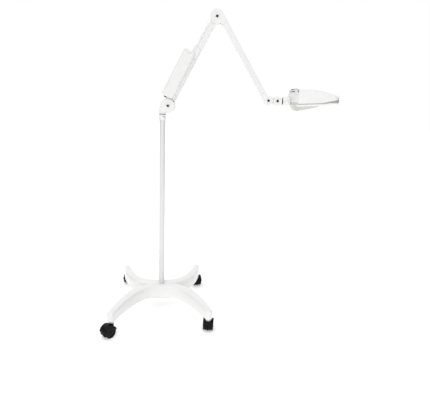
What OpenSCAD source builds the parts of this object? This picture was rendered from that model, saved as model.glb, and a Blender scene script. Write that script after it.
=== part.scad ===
// Floor-standing magnifying lamp on a rolling base, with a two-section friction arm.
// Units are millimetres. +Z is up, the pole stands on the origin and the arm reaches along +X.

/* [Base] */
// distance between the front arch's two tips
front_span = 414; // [412:1:416]
// distance between the rear arch's two tips
rear_span = 366; // [364:1:368]
// distance from the pole to each pair of tips
tip_reach = 229; // [228:1:230]
// turn of the base about the pole, counted from the arm's plane
base_yaw = 7; // [-30:1:30]
// width of an arch
beam_w = 40; // [39:0.5:41]
// thickness of an arch, from its underside to its top
beam_h = 52; // [50:1:54]

/* [Casters] */
// diameter of each caster wheel
wheel_d = 50; // [46:1:52]
// width of each caster wheel
wheel_w = 18; // [15:1:19]
// distance from the swivel axis to the axle
caster_trail = 18; // [16:1:20]

/* [Pole] */
// outside diameter of the pole
pole_d = 25; // [24:0.5:26]
// height of the pole's top over the floor
pole_top = 918; // [850:2:960]

/* [Arm] */
// length of the lower arm, pivot to pivot
lower_len = 404; // [380:2:440]
// rise of the lower arm in degrees from level
lower_rise = 61.5; // [45:0.5:80]
// length of the forearm, pivot to pivot
fore_len = 391; // [370:2:420]
// fall of the forearm in degrees from level
fore_fall = 54; // [30:0.5:75]
// height of the arm tube's section in the arm's plane
tube_h = 22; // [20:1:24]

/* [Ballast box] */
// length of the ballast box along the arm
box_len = 209; // [190:1:215]
// width of the ballast box across the arm
box_w = 52; // [46:1:60]
// depth of the ballast box over the saddle's cheeks
box_h = 50; // [46:1:56]

/* [Head] */
// width of the head across the arm
head_w = 184; // [180:2:210]
// diameter of the lens
lens_d = 120; // [100:1:122]
// thickness of the lens at its middle
lens_t = 14; // [10:1:16]

/* [Hidden] */
$fn = 96;
run = 0.06;
gap = 0.3;
big = 600;
edge_r = 9;
beam_z = wheel_d + 11;
beam_top = beam_z + beam_h;
core_r = 18;
core_top = beam_top - 7;
plate_x = 96;
plate_y = 58;
plate_t = 5;
hub_x = 34;
hub_y = 20;
hub_screw_r = 3;
hub_screw_up = 20;
pole_r = pole_d / 2;
pole_in_r = pole_r - 2;
pole_foot = beam_z + 4;
sleeve_r = pole_r + 1.6;
sleeve_h = 25;
set_turn = -59;
set_z = pole_top - 11;
set_r = 2.2;
stem_r = 5.5;
stem_in = 6;
sock_r = 8;
sock_up = 26;
sock_flange_r = 12;
sock_flange_t = 2.5;
hood_top = wheel_d + 5.5;
web_w = 8;
axle_r = 3;
axle_len = web_w + 2 * wheel_w + 0.6;
arch_apex = beam_w / 2 - 2;
leg_slim = 0.2;
front_apex = [140, 53];
rear_apex = [150, 60];
caster_turn = [236, 88, 84, 285];
tips = [[-front_span / 2, -tip_reach], [front_span / 2, -tip_reach],
        [-rear_span / 2, tip_reach], [rear_span / 2, tip_reach]];

shoulder = [24, pole_top + 35];
elbow = [shoulder[0] + lower_len * cos(lower_rise), shoulder[1] + lower_len * sin(lower_rise)];
wrist = [elbow[0] + fore_len * cos(fore_fall), elbow[1] - fore_len * sin(fore_fall)];
tilt = [wrist[0] + 38, wrist[1]];
tongue_y = 9;
ear_in = tongue_y + 0.4;
ear_out = 15;
bolt_r = 5;
bolt_head_r = 6.5;
shoulder_r = 29;
elbow_r = 27.5;
wrist_r = 19;
knuckle_r = 18;
small_y = 8;
small_in = small_y + 0.4;
small_out = 13;
tube_w = 20;
wall = 2;
lower_skew = 1.3;
lower_off = -17.5;
lower_start = 36;
lower_end_x = lower_len - 32;
cover_h = 7.5;
fore_skew = 3;
fore_off = 15.2;
fore_start = 44;
fore_end_x = fore_len - 40;
cheek_in = tube_w / 2 + 0.3;
cheek_t = 2.5;
saddle_lo = 4.5;
saddle_hi = tube_h + cover_h + gap;
box_x = 31;
box_lo = 14;
box_hi = box_lo + box_h;
cap_len = 9;
box_wall = 2.5;
gland_z = box_hi - 15;
screw_x = [52, 215];

head_x = tilt[0] + 53;
head_z = tilt[1];
hinge = [head_x + 12, head_z + 45];
head_len = 188;
frame_x = head_x + 18;
tip_x = head_x + head_len;
plan_r = 30;
shell = 2.6;
lens_x = head_x + 107;
lens_z = head_z - 2;
lens_tilt = 5.5;
lens_edge = 3;
lens_r = lens_d / 2;
lens_cap_r = (lens_r * lens_r + pow(lens_t / 2 - lens_edge / 2, 2)) / (lens_t - lens_edge);
lamp_y = head_w / 2 - 16.5;
lamp_x = [-62, 56];
lamp_r = 5.5;
lamp_z = 9.5;
rocker_y = 50;
rocker_pin = [head_x + 8, head_z + 1];
rocker_rest = 7;

// ---- shared helpers ----

// a flat shape drawn in X and Z, given thickness between two Y values
module slab(y0, y1) {
    translate([0, y1, 0])
        rotate([90, 0, 0])
            linear_extrude(y1 - y0)
                children();
}

// a round bar along Y through an X, Z point
module bar_y(at, r, y0, y1) {
    translate([at[0], y1, at[1]])
        rotate([90, 0, 0])
            cylinder(r = r, h = y1 - y0);
}

// a flat disc at a point in the X, Z drawing plane
module disc(at, r) {
    translate(at)
        circle(r);
}

// rectangle with rounded corners, drawn from its low corner
module round_rect(w, h, r) {
    translate([r, 0])
        square([w - 2 * r, h]);
    translate([0, r])
        square([w, h - 2 * r]);
    for (x = [r, w - r], y = [r, h - r])
        translate([x, y])
            circle(r, $fn = 32);
}

module in_lower() {
    translate([shoulder[0], 0, shoulder[1]])
        rotate([0, -lower_rise, 0])
            children();
}

// frame of the lower tube: x along it, z from its lower face
module in_lower_tube() {
    in_lower()
        translate([0, 0, lower_off])
            rotate([0, -lower_skew, 0])
                children();
}

module in_fore() {
    translate([elbow[0], 0, elbow[1]])
        rotate([0, fore_fall, 0])
            children();
}

// frame of the forearm tube: x along it, z from its middle line
module in_fore_tube() {
    in_fore()
        translate([0, 0, fore_off])
            rotate([0, fore_skew, 0])
                children();
}

module in_lens() {
    translate([lens_x, 0, lens_z])
        rotate([0, -lens_tilt, 0])
            children();
}

// ---- base ----

module edge_profile(r, h, e) {
    square([r - e, h]);
    translate([0, e])
        square([r, h - 2 * e]);
    translate([r - e, e])
        circle(e);
    translate([r - e, h - e])
        circle(e);
}

// a stretch of beam round an arc centre, from angle a0 on for sweep degrees
// slim is how much its skin lies inside the full section, fine its steps a turn
module beam_arc(centre, r, a0, sweep, slim, fine) {
    translate([centre[0], centre[1], slim])
        rotate([0, 0, a0])
            rotate_extrude(angle = sweep, $fn = fine)
                translate([r - beam_w / 2 + slim, 0])
                    round_rect(beam_w - 2 * slim, beam_h - 2 * slim, edge_r);
}

// curved beam from tip to tip, opening toward -Y, lying on z = 0
// apex is the radius of its middle arc and half that arc's angle
module arch_body(span, apex) {
    r = apex[0];
    mid = [0, -arch_apex - r];
    knee = [r * sin(apex[1]), mid[1] + r * cos(apex[1])];
    leg = [span / 2 - knee[0], -tip_reach - knee[1]];
    turn = 2 * (atan2(-leg[1], leg[0]) - apex[1]);
    leg_r = norm(leg) / (2 * sin(turn / 2));
    past = 26 / leg_r * 180 / PI;
    lap = 4 / leg_r * 180 / PI;
    a = 90 - apex[1] - turn;
    difference() {
        union() {
            beam_arc(mid, r, 90 - apex[1], 2 * apex[1], 0, 96);
            for (m = [0, 1])
                mirror([m, 0, 0])
                    beam_arc(knee - leg_r * [sin(apex[1]), cos(apex[1])], leg_r, a - past,
                             past + turn + lap, leg_slim, 360);
        }
        for (m = [0, 1])
            mirror([m, 0, 0])
                translate([span / 2, -tip_reach, 0])
                    rotate([0, 0, a])
                        difference() {
                            translate([-beam_w, -2 * beam_w, -1])
                                cube([2 * beam_w, 2 * beam_w, beam_h + 2]);
                            translate([0, 0, -2])
                                cylinder(r = beam_w / 2 + 0.5, h = beam_h + 4);
                        }
    }
}

// one arch with its hub pocket, screw holes and caster holes
module arch(span, apex) {
    translate([0, 0, beam_z])
        difference() {
            arch_body(span, apex);
            translate([-big / 2, -0.1, -1])
                cube([big, big, beam_h + 2]);
            translate([0, 0, -1])
                cylinder(r = core_r + 0.15, h = core_top - beam_z + 1);
            cylinder(r = pole_r + 0.2, h = beam_h + 1);
            for (s = [-1, 1])
                translate([s * hub_x, -hub_y, -1])
                    cylinder(r = hub_screw_r + run, h = hub_screw_up + 2);
            for (s = [-1, 1])
                translate([s * span / 2, -tip_reach, -1])
                    cylinder(r = sock_r + run, h = sock_up + 2);
        }
}

module in_base() {
    rotate([0, 0, base_yaw])
        children();
}

module front_arch() {
    color([0.93, 0.93, 0.91])
        in_base()
            arch(front_span, front_apex);
}

module rear_arch() {
    color([0.93, 0.93, 0.91])
        in_base()
            rotate([0, 0, 180])
                arch(rear_span, rear_apex);
}

module hub_core() {
    color([0.55, 0.56, 0.58])
        in_base()
            difference() {
                union() {
                    translate([0, 0, beam_z - 0.1])
                        cylinder(r = core_r, h = core_top - beam_z);
                    translate([-plate_x / 2, -plate_y / 2, beam_z - plate_t - 0.1])
                        cube([plate_x, plate_y, plate_t]);
                }
                translate([0, 0, pole_foot])
                    cylinder(r = pole_r + run, h = beam_h);
                for (x = [-1, 1], y = [-1, 1])
                    translate([x * hub_x, y * hub_y, beam_z - plate_t - 1])
                        cylinder(r = hub_screw_r + run, h = plate_t + 2);
            }
}

module hub_screws() {
    color([0.45, 0.46, 0.48])
        in_base()
            for (x = [-1, 1], y = [-1, 1])
                translate([x * hub_x, y * hub_y, 0])
                    difference() {
                        union() {
                            translate([0, 0, beam_z - plate_t - 4.2])
                                cylinder(r = 5.5, h = 4);
                            translate([0, 0, beam_z - plate_t - 1])
                                cylinder(r = hub_screw_r, h = hub_screw_up + plate_t);
                        }
                        translate([0, 0, beam_z - plate_t - 5])
                            cylinder(r = 2.8, h = 3, $fn = 6);
                    }
}

module caster_sockets() {
    color([0.6, 0.61, 0.62])
        in_base()
            for (t = tips)
                translate([t[0], t[1], 0])
                    difference() {
                        union() {
                            translate([0, 0, beam_z - sock_flange_t])
                                cylinder(r = sock_flange_r, h = sock_flange_t - 0.1);
                            translate([0, 0, beam_z - 1])
                                cylinder(r = sock_r, h = sock_up);
                        }
                        translate([0, 0, beam_z - 5])
                            cylinder(r = stem_r + run, h = sock_up + 2);
                    }
}

module pole() {
    color([0.9, 0.9, 0.9])
        difference() {
            translate([0, 0, pole_foot + 0.1])
                cylinder(r = pole_r, h = pole_top - pole_foot - 0.1);
            translate([0, 0, pole_foot - 1])
                cylinder(r = pole_in_r, h = pole_top);
        }
}

module pole_sleeve() {
    color([0.93, 0.93, 0.92])
        difference() {
            translate([0, 0, pole_top - sleeve_h])
                rotate_extrude()
                    edge_profile(sleeve_r, sleeve_h, 1);
            translate([0, 0, pole_top - sleeve_h - 1])
                cylinder(r = pole_r + run, h = sleeve_h + 2);
            translate([0, 0, set_z])
                rotate([0, 90, set_turn])
                    cylinder(r = set_r + run, h = 2 * pole_r);
        }
}

module pole_set_screw() {
    color([0.15, 0.15, 0.16])
        translate([0, 0, set_z])
            rotate([0, 90, set_turn])
                difference() {
                    translate([0, 0, pole_r + 0.1])
                        cylinder(r = set_r, h = 1.9);
                    translate([0, 0, pole_r + 1])
                        cylinder(r = 1.2, h = 2, $fn = 6);
                }
}

// ---- casters ----

// the frame of caster i: origin on the floor under its stem, x trailing away from it
module in_caster(i) {
    in_base()
        translate([tips[i][0], tips[i][1], 0])
            rotate([0, 0, caster_turn[i] - base_yaw])
                children();
}

module caster_stem(i) {
    color([0.6, 0.61, 0.62])
        in_caster(i) {
            translate([0, 0, hood_top - stem_in])
                cylinder(r = stem_r, h = beam_z + sock_up - 5 - hood_top + stem_in);
            translate([0, 0, hood_top + 0.1])
                cylinder(r = stem_r + 3, h = beam_z - sock_flange_t - hood_top - 0.4);
        }
}

module caster_hood(i) {
    r_in = wheel_d / 2 + 1.2;
    r_out = r_in + 2.2;
    half = web_w / 2 + wheel_w + 1;
    axle = [caster_trail, wheel_d / 2];
    color([0.08, 0.08, 0.09])
        in_caster(i)
            difference() {
                union() {
                    slab(-web_w / 2, web_w / 2)
                        disc(axle, r_out);
                    difference() {
                        slab(-half, half)
                            disc(axle, r_out);
                        slab(-half - 1, half + 1)
                            disc(axle, r_in);
                        slab(-half - 1, half + 1)
                            translate([-big / 2, -big])
                                square([big, big + wheel_d / 2 + 4]);
                    }
                    translate([0, 0, wheel_d / 2 + 5])
                        cylinder(r = stem_r + 4, h = hood_top - wheel_d / 2 - 5);
                }
                slab(-half - 1, -web_w / 2)
                    disc(axle, r_in);
                slab(web_w / 2, half + 1)
                    disc(axle, r_in);
                slab(-big / 2, big / 2)
                    translate([-big / 2, -big])
                        square([big, big + 5]);
                bar_y(axle, axle_r + run, -big / 2, big / 2);
                translate([0, 0, hood_top - stem_in - 0.2])
                    cylinder(r = stem_r + run, h = 20);
            }
}

module caster_axle(i) {
    color([0.6, 0.61, 0.62])
        in_caster(i)
            bar_y([caster_trail, wheel_d / 2], axle_r, -axle_len / 2, axle_len / 2);
}

// wheel on one side of the caster's web, side is -1 or 1
module caster_wheel(i, side) {
    color([0.12, 0.12, 0.13])
        in_caster(i)
            translate([caster_trail, side * (web_w / 2 + 0.4), wheel_d / 2])
                rotate([-90 * side, 0, 0])
                    difference() {
                        rotate_extrude()
                            edge_profile(wheel_d / 2, wheel_w - 0.4, 3);
                        translate([0, 0, -1])
                            cylinder(r = axle_r + run, h = wheel_w + 2);
                        translate([0, 0, wheel_w - 2.9])
                            difference() {
                                cylinder(r = wheel_d / 2 - 6, h = 4);
                                cylinder(r = axle_r + 3, h = 4);
                            }
                    }
}

// ---- swivel and pivots ----

// a pivot screw with a socket head toward -Y, clear of both of its ears
module pivot_bolt(at, out) {
    difference() {
        union() {
            bar_y(at, bolt_r, -out, out);
            bar_y(at, bolt_head_r, -out - 1.6, -out + 2.4);
            bar_y(at, bolt_head_r, out - 2.4, out + 1.6);
        }
        translate([0, -out, 0])
            slab(-3, 2)
                translate(at)
                    circle(r = 3.6, $fn = 6);
    }
}

// the ear holes a pivot screw passes, with room for its two ends
module pivot_holes(at, out) {
    bar_y(at, bolt_r + run, -out - 1, out + 1);
    bar_y(at, bolt_head_r + 0.2, -out - 1, -out + 2.5);
    bar_y(at, bolt_head_r + 0.2, out - 2.5, out + 1);
}

module swivel_bracket() {
    x = shoulder[0];
    z = shoulder[1];
    low = pole_top + gap;
    color([0.93, 0.93, 0.91])
        difference() {
            union() {
                slab(-ear_out, ear_out) {
                    disc(shoulder, shoulder_r);
                    polygon([[-14.5, low + 8], [-13.5, low + 17], [-10.5, low + 30], [x - 24, z + 16],
                             [x, z + 10], [x + 12, z - 26.4], [12, low + 8]]);
                }
                translate([0, 0, low])
                    rotate_extrude()
                        edge_profile(15, 14, 1.5);
                translate([0, 0, low - 60])
                    cylinder(r = pole_in_r - run, h = 64);
            }
            slab(-ear_in, ear_in) {
                disc(shoulder, shoulder_r - 4);
                polygon([[x - 25, z], [x - 30, z + 60], [x + 60, z + 60], [x + 60, z - 26], [x + 4, z - 24]]);
            }
            pivot_holes(shoulder, ear_out);
        }
}

module shoulder_bolt() {
    color([0.5, 0.51, 0.53])
        pivot_bolt(shoulder, ear_out);
}

// ---- lower arm ----

module lower_end() {
    color([0.93, 0.93, 0.91])
        difference() {
            union() {
                in_lower()
                    slab(-tongue_y, tongue_y) {
                        circle(22);
                        polygon([[-2, -21.9], [30, -17], [30, 22.5], [8, 20.4], [-5, 21.4]]);
                    }
                in_lower_tube()
                    translate([lower_start - 8, -tube_w / 2 + wall + 0.1, wall + 0.1])
                        cube([40, tube_w - 2 * wall - 0.2, tube_h - 2 * wall - 0.2]);
                in_lower_tube()
                    translate([22, -tongue_y, 0.6])
                        cube([lower_start - 22 - 0.2, 2 * tongue_y, tube_h - 1]);
            }
            bar_y(shoulder, bolt_r + run, -big / 2, big / 2);
            in_lower_tube()
                bar_y([screw_x[0], 9], 2 + run, -big / 2, big / 2);
        }
}

module lower_tube() {
    color([0.92, 0.92, 0.92])
        in_lower_tube()
            difference() {
                translate([lower_start, -tube_w / 2, 0])
                    cube([lower_end_x - lower_start, tube_w, tube_h]);
                translate([lower_start - 1, -tube_w / 2 + wall, wall])
                    cube([lower_end_x, tube_w - 2 * wall, tube_h - 2 * wall]);
                for (x = screw_x)
                    bar_y([x, 9], 2 + run, -big / 2, big / 2);
            }
}

module cable_cover() {
    color([0.9, 0.9, 0.9])
        in_lower_tube()
            difference() {
                translate([lower_start, -tube_w / 2 + 1, tube_h + 0.1])
                    cube([lower_end_x - lower_start - 4, tube_w - 2, cover_h]);
                translate([lower_start - 1, -tube_w / 2 + 3, tube_h - 1])
                    cube([lower_end_x, tube_w - 6, cover_h - 1]);
            }
}

module upper_end() {
    color([0.93, 0.93, 0.91])
        difference() {
            union() {
                in_lower()
                    slab(-tongue_y, tongue_y) {
                        disc([lower_len, 0], 22);
                        polygon([[lower_len, 21.9], [lower_end_x - 3, 13], [lower_end_x - 3, -8.6], [lower_len, -21.9]]);
                    }
                in_lower_tube()
                    translate([lower_end_x - 32, -tube_w / 2 + wall + 0.1, wall + 0.1])
                        cube([36, tube_w - 2 * wall - 0.2, tube_h - 2 * wall - 0.2]);
            }
            in_lower_tube() {
                difference() {
                    translate([lower_end_x - 34, -tube_w, -20])
                        cube([34.1, 2 * tube_w, 80]);
                    translate([lower_end_x - 33, -tube_w / 2 + wall + 0.1, wall + 0.1])
                        cube([36, tube_w - 2 * wall - 0.2, tube_h - 2 * wall - 0.2]);
                }
            }
            bar_y(elbow, bolt_r + run, -big / 2, big / 2);
        }
}

module saddle() {
    out = cheek_in + cheek_t;
    color([0.95, 0.95, 0.93])
        in_lower_tube()
            difference() {
                translate([box_x + 5, -out, saddle_lo])
                    cube([box_len + 18, 2 * out, saddle_hi + cheek_t - saddle_lo]);
                translate([box_x - 1, -cheek_in, saddle_lo - 1])
                    cube([box_len + 30, 2 * cheek_in, saddle_hi - saddle_lo + 1.1]);
                for (x = screw_x)
                    bar_y([x, 9], 2 + run, -big / 2, big / 2);
            }
}

module saddle_screws() {
    color([0.15, 0.15, 0.16])
        in_lower_tube()
            for (x = screw_x)
                difference() {
                    union() {
                        bar_y([x, 9], 2, -cheek_in - cheek_t - 1, cheek_in + cheek_t + 1);
                        bar_y([x, 9], 3.4, -cheek_in - cheek_t - 1.7, -cheek_in - cheek_t - 0.1);
                        bar_y([x, 9], 3.4, cheek_in + cheek_t + 0.1, cheek_in + cheek_t + 1.7);
                    }
                    translate([0, -cheek_in - cheek_t - 1, 0])
                        slab(-2, 0)
                            translate([x, 9])
                                circle(r = 1.6, $fn = 6);
                }
}

// outside form of the ballast box between two lengths along the arm
module box_form() {
    intersection() {
        slab(-box_w / 2, box_w / 2)
            translate([box_x, box_lo])
                round_rect(box_len, box_h, 12);
        translate([box_x, 0, 0])
            rotate([90, 0, 90])
                linear_extrude(box_len)
                    translate([-box_w / 2, box_lo])
                        round_rect(box_w, box_h, 8);
    }
}

// the room the saddle takes out of the box's underside
module box_channel() {
    out = cheek_in + cheek_t + 0.2;
    translate([box_x - 1, -out, 0])
        cube([box_len + 2, 2 * out, saddle_hi + cheek_t + 0.2]);
    for (x = screw_x, s = [-1, 1])
        translate([0, s * (out + 1), 0])
            bar_y([x, 9], 4.5, -2, 2);
}

module ballast_case() {
    cut = box_x + box_len - cap_len;
    inner = box_w / 2 - box_wall;
    color([0.93, 0.93, 0.92])
        in_lower_tube()
            difference() {
                box_form();
                box_channel();
                translate([cut - 0.1, -big / 2, -big / 2])
                    cube([big, big, big]);
                translate([box_x + box_wall, -inner, saddle_hi + cheek_t + box_wall])
                    cube([box_len, 2 * inner, box_hi - saddle_hi - cheek_t - 2 * box_wall]);
                translate([box_x - 1, 0, gland_z])
                    rotate([0, 90, 0])
                        cylinder(r = 6 + run, h = 8);
            }
}

module ballast_cap() {
    cut = box_x + box_len - cap_len;
    color([0.95, 0.95, 0.94])
        in_lower_tube()
            difference() {
                box_form();
                box_channel();
                translate([cut - big, -big / 2, -big / 2])
                    cube([big, big, big]);
            }
}

module ballast_core() {
    color([0.5, 0.5, 0.52])
        in_lower_tube()
            translate([box_x + 32, -18, saddle_hi + cheek_t + box_wall + 0.2])
                cube([132, 36, box_hi - saddle_hi - cheek_t - 2 * box_wall - 1.5]);
}

module cable_gland() {
    color([0.1, 0.1, 0.11])
        in_lower_tube()
            translate([box_x, 0, gland_z])
                rotate([0, 90, 0])
                    difference() {
                        union() {
                            translate([0, 0, -6])
                                cylinder(r = 8, h = 5.9);
                            translate([0, 0, -1])
                                cylinder(r = 6, h = 7);
                        }
                        translate([0, 0, -7])
                            cylinder(r = 3.2, h = 20);
                    }
}

// ---- forearm ----

module elbow_fork() {
    lo = fore_off - tube_h / 2;
    color([0.93, 0.93, 0.91])
        difference() {
            union() {
                in_fore()
                    slab(-ear_out, ear_out) {
                        circle(elbow_r);
                        polygon([[0, elbow_r], [fore_start, lo + tube_h - 2], [fore_start, lo - 2], [8, -4]]);
                    }
                in_fore_tube()
                    translate([fore_start - 2, -tube_w / 2 + wall + 0.1, -tube_h / 2 + wall + 0.1])
                        cube([34, tube_w - 2 * wall - 0.2, tube_h - 2 * wall - 0.2]);
            }
            in_fore()
                slab(-ear_in, ear_in) {
                    circle(elbow_r - 3);
                    polygon([[-40, -60], [-40, 60], [0, 60], [12, 20], [24, 5], [34, 2], [60, 2], [60, -60]]);
                }
            in_fore_tube()
                difference() {
                    translate([fore_start, -tube_w, -40])
                        cube([40, 2 * tube_w, 80]);
                    translate([fore_start - 2, -tube_w / 2 + wall + 0.1, -tube_h / 2 + wall + 0.1])
                        cube([34, tube_w - 2 * wall - 0.2, tube_h - 2 * wall - 0.2]);
                }
            pivot_holes(elbow, ear_out);
        }
}

module fore_tube() {
    color([0.92, 0.92, 0.92])
        in_fore_tube()
            difference() {
                translate([fore_start + 0.1, -tube_w / 2, -tube_h / 2])
                    cube([fore_end_x - fore_start - 0.2, tube_w, tube_h]);
                translate([fore_start - 1, -tube_w / 2 + wall, -tube_h / 2 + wall])
                    cube([fore_end_x, tube_w - 2 * wall, tube_h - 2 * wall]);
            }
}

module wrist_fork() {
    color([0.93, 0.93, 0.91])
        difference() {
            union() {
                in_fore()
                    slab(-small_out, small_out) {
                        disc([fore_len, 0], wrist_r);
                        polygon([[fore_end_x - 2, 8], [fore_len - 14, 9], [fore_len, 4], [fore_len, -wrist_r],
                                 [fore_len - 6, -wrist_r + 1], [fore_end_x - 2, -13.6]]);
                    }
                in_fore_tube()
                    translate([fore_end_x - 32, -tube_w / 2 + wall + 0.1, -tube_h / 2 + wall + 0.1])
                        cube([34, tube_w - 2 * wall - 0.2, tube_h - 2 * wall - 0.2]);
            }
            slab(-small_in, small_in) {
                disc(wrist, wrist_r - 1.4);
                polygon([[wrist[0] - 6, wrist[1] - 60], [wrist[0] + 60, wrist[1] - 60],
                         [wrist[0] + 60, wrist[1] + 60], [wrist[0] + 10, wrist[1] + 60],
                         [wrist[0] + 1, wrist[1] + 16], [wrist[0] - 14, wrist[1] - 10]]);
            }
            in_fore_tube()
                difference() {
                    translate([fore_end_x - 40, -tube_w, -40])
                        cube([40, 2 * tube_w, 80]);
                    translate([fore_end_x - 32, -tube_w / 2 + wall + 0.1, -tube_h / 2 + wall + 0.1])
                        cube([34, tube_w - 2 * wall - 0.2, tube_h - 2 * wall - 0.2]);
                }
            pivot_holes(wrist, small_out);
        }
}

module elbow_bolt() {
    color([0.5, 0.51, 0.53])
        pivot_bolt(elbow, ear_out);
}

module wrist_bolt() {
    color([0.5, 0.51, 0.53])
        pivot_bolt(wrist, small_out);
}

module wrist_link() {
    color([0.93, 0.93, 0.91])
        difference() {
            slab(-small_y, small_y) {
                disc(wrist, 17);
                disc(tilt, 14);
                polygon([[wrist[0], wrist[1] - 14], [tilt[0], tilt[1] - 12],
                         [tilt[0], tilt[1] + 12], [wrist[0], wrist[1] + 14]]);
            }
            bar_y(wrist, bolt_r + run, -big / 2, big / 2);
            bar_y(tilt, bolt_r + run, -big / 2, big / 2);
        }
}

module tilt_knuckle() {
    face = tilt[0] + 19;
    color([0.93, 0.93, 0.91])
        difference() {
            union() {
                slab(-small_out, small_out) {
                    disc(tilt, knuckle_r);
                    translate([tilt[0], tilt[1] - 14])
                        square([face - tilt[0], 28]);
                }
                translate([face - 2, 0, head_z])
                    rotate([0, 90, 0])
                        cylinder(r = 8, h = 28);
            }
            slab(-small_in, small_in) {
                disc(tilt, 14.5);
                translate([tilt[0] - 40, tilt[1] - 40])
                    square([40, 80]);
                polygon([[tilt[0] - 1, tilt[1] - 40], [tilt[0] + 5, tilt[1] - 13],
                         [tilt[0] + 5, tilt[1] + 13], [tilt[0] - 1, tilt[1] + 40]]);
            }
            pivot_holes(tilt, small_out);
        }
}

module tilt_bolt() {
    color([0.5, 0.51, 0.53])
        pivot_bolt(tilt, small_out);
}

// ---- head ----

module head_neck() {
    face = tilt[0] + 23;
    color([0.93, 0.92, 0.9])
        translate([face, 0, head_z])
            rotate([0, 90, 0])
                difference() {
                    union() {
                        rotate_extrude()
                            edge_profile(19, head_x - face - 0.1, 2.5);
                        translate([0, 0, head_x - face - 4])
                            cylinder(r = 12, h = 3.9);
                    }
                    translate([0, 0, -1])
                        cylinder(r = 8 + run, h = 23);
                }
}

// plan outline of the head, with its corners rounded
module head_plan(inset) {
    w = head_w - 2 * inset;
    r = plan_r - inset;
    translate([head_x + plan_r, -w / 2])
        square([head_len - 2 * plan_r, w]);
    translate([head_x + inset, -w / 2 + r])
        square([head_len - 2 * inset, w - 2 * r]);
    for (x = [head_x + plan_r, tip_x - plan_r], s = [-1, 1])
        translate([x, s * (w / 2 - r)])
            circle(r);
}

module in_plan(inset) {
    translate([0, 0, head_z - 80])
        linear_extrude(220)
            head_plan(inset);
}

module frame_side() {
    translate([head_x, head_z])
        polygon([[18, -6.9], [114, -0.4], [head_len, 17.6], [head_len - 0.5, 0.5], [116, -10],
                 [55, -14], [6, -19], [6, -6.9]]);
}

module end_side() {
    translate([head_x, head_z])
        polygon([[0.1, -19], [0.1, 15], [2.5, 27], [6.5, 38], [10, 45], [16, 49], [17.6, 49], [17.6, -19]]);
}

// two lugs that carry the lid's pin, outside its knuckles
module hinge_lugs() {
    for (s = [-1, 1])
        slab(s * 72 - 4, s * 72 + 4) {
            disc(hinge, 5.2);
            translate([hinge[0] - 5.2, hinge[1] - 12])
                square([10.4, 12]);
        }
}

// rear end of the frame, with the pocket the lid's knuckles turn in
module rear_block(half) {
    difference() {
        intersection() {
            slab(-half, half)
                end_side();
            in_plan(0);
        }
        bar_y(hinge, 8, -half - 1, half + 1);
        slab(-half - 1, half + 1)
            translate([hinge[0], hinge[1] - 4])
                square([40, 40]);
    }
}

module head_frame() {
    half = head_w / 2;
    color([0.92, 0.92, 0.9])
        difference() {
            union() {
                difference() {
                    intersection() {
                        slab(-half, half)
                            frame_side();
                        in_plan(0);
                    }
                    intersection() {
                        in_plan(shell);
                        translate([head_x + 17, -half, head_z - 40])
                            cube([head_len, head_w, 100]);
                    }
                }
                intersection() {
                    in_lens()
                        translate([-head_len, -half, -5.6])
                            cube([2 * head_len, head_w, 3]);
                    in_plan(shell - 0.5);
                    translate([head_x + 16, -half, head_z - 40])
                        cube([head_len, head_w, 100]);
                }
                rear_block(half);
                hinge_lugs();
            }
            in_lens()
                translate([0, 0, -10])
                    cylinder(r = lens_r - 3, h = 20);
            in_lens()
                for (s = [-1, 1])
                    translate([lamp_x[0] + 10, s * lamp_y - 9, -10])
                        cube([lamp_x[1] - lamp_x[0] - 10, 18, 20]);
            intersection() {
                slab(-half, half)
                    translate([head_x, head_z])
                        polygon([[3, -16], [3, 14], [6, 27], [9, 32], [15, 32], [15, -16]]);
                in_plan(3);
            }
            bar_y(hinge, 2.5 + run, -half + 2, half - 2);
            translate([head_x - 1, rocker_y - 8, rocker_pin[1] - 11])
                cube([6, 16, 22]);
        }
}

module lamp_housing() {
    half = head_w / 2 - 8;
    color([0.88, 0.88, 0.86])
        difference() {
            slab(-half, half)
                translate([head_x, head_z])
                    polygon([[8, -19.1], [23, -36], [91, -19], [107, -11.6], [95, -11.8], [55, -14.4],
                             [18.2, -18.2], [18.2, -19.1]]);
            slab(-half + 2, half - 2)
                translate([head_x, head_z])
                    polygon([[13, -16], [13, -21], [23, -33], [89, -16.8], [89, -8]]);
        }
}

module lens() {
    lift = lens_cap_r - lens_t / 2;
    color([0.85, 0.93, 0.95, 0.35])
        in_lens()
            translate([0, 0, -0.4])
                rotate_extrude()
                    intersection() {
                        translate([0, -lens_t])
                            square([lens_r - 0.3, 2 * lens_t]);
                        translate([0, -lift])
                            circle(lens_cap_r, $fn = 256);
                        translate([0, lift])
                            circle(lens_cap_r, $fn = 256);
                    }
}

module lens_ring() {
    color([0.15, 0.15, 0.16])
        in_lens()
            difference() {
                translate([0, 0, -2.5])
                    cylinder(r = lens_r + 3.5, h = 6);
                translate([0, 0, -3])
                    cylinder(r = lens_r, h = 5);
                translate([0, 0, -3])
                    cylinder(r = lens_r - 3, h = 12);
            }
}

module reflectors() {
    color([0.85, 0.86, 0.87])
        in_lens()
            for (s = [-1, 1])
                translate([lamp_x[0], s * lamp_y, -2.5])
                    difference() {
                        translate([0, -10.5, 0])
                            cube([lamp_x[1] - lamp_x[0] + 2, 21, 20]);
                        translate([-1, -9, -1])
                            cube([lamp_x[1] - lamp_x[0] + 1, 18, 19.5]);
                    }
}

module lamp_tubes() {
    color([0.97, 0.97, 0.93])
        in_lens()
            for (s = [-1, 1])
                translate([0, s * lamp_y, lamp_z]) {
                    translate([lamp_x[0] - 12, -8, -7])
                        cube([22, 16, 13]);
                    translate([lamp_x[0], 0, 0])
                        rotate([0, 90, 0])
                            cylinder(r = lamp_r, h = lamp_x[1] - lamp_x[0] - 4);
                }
}

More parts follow.
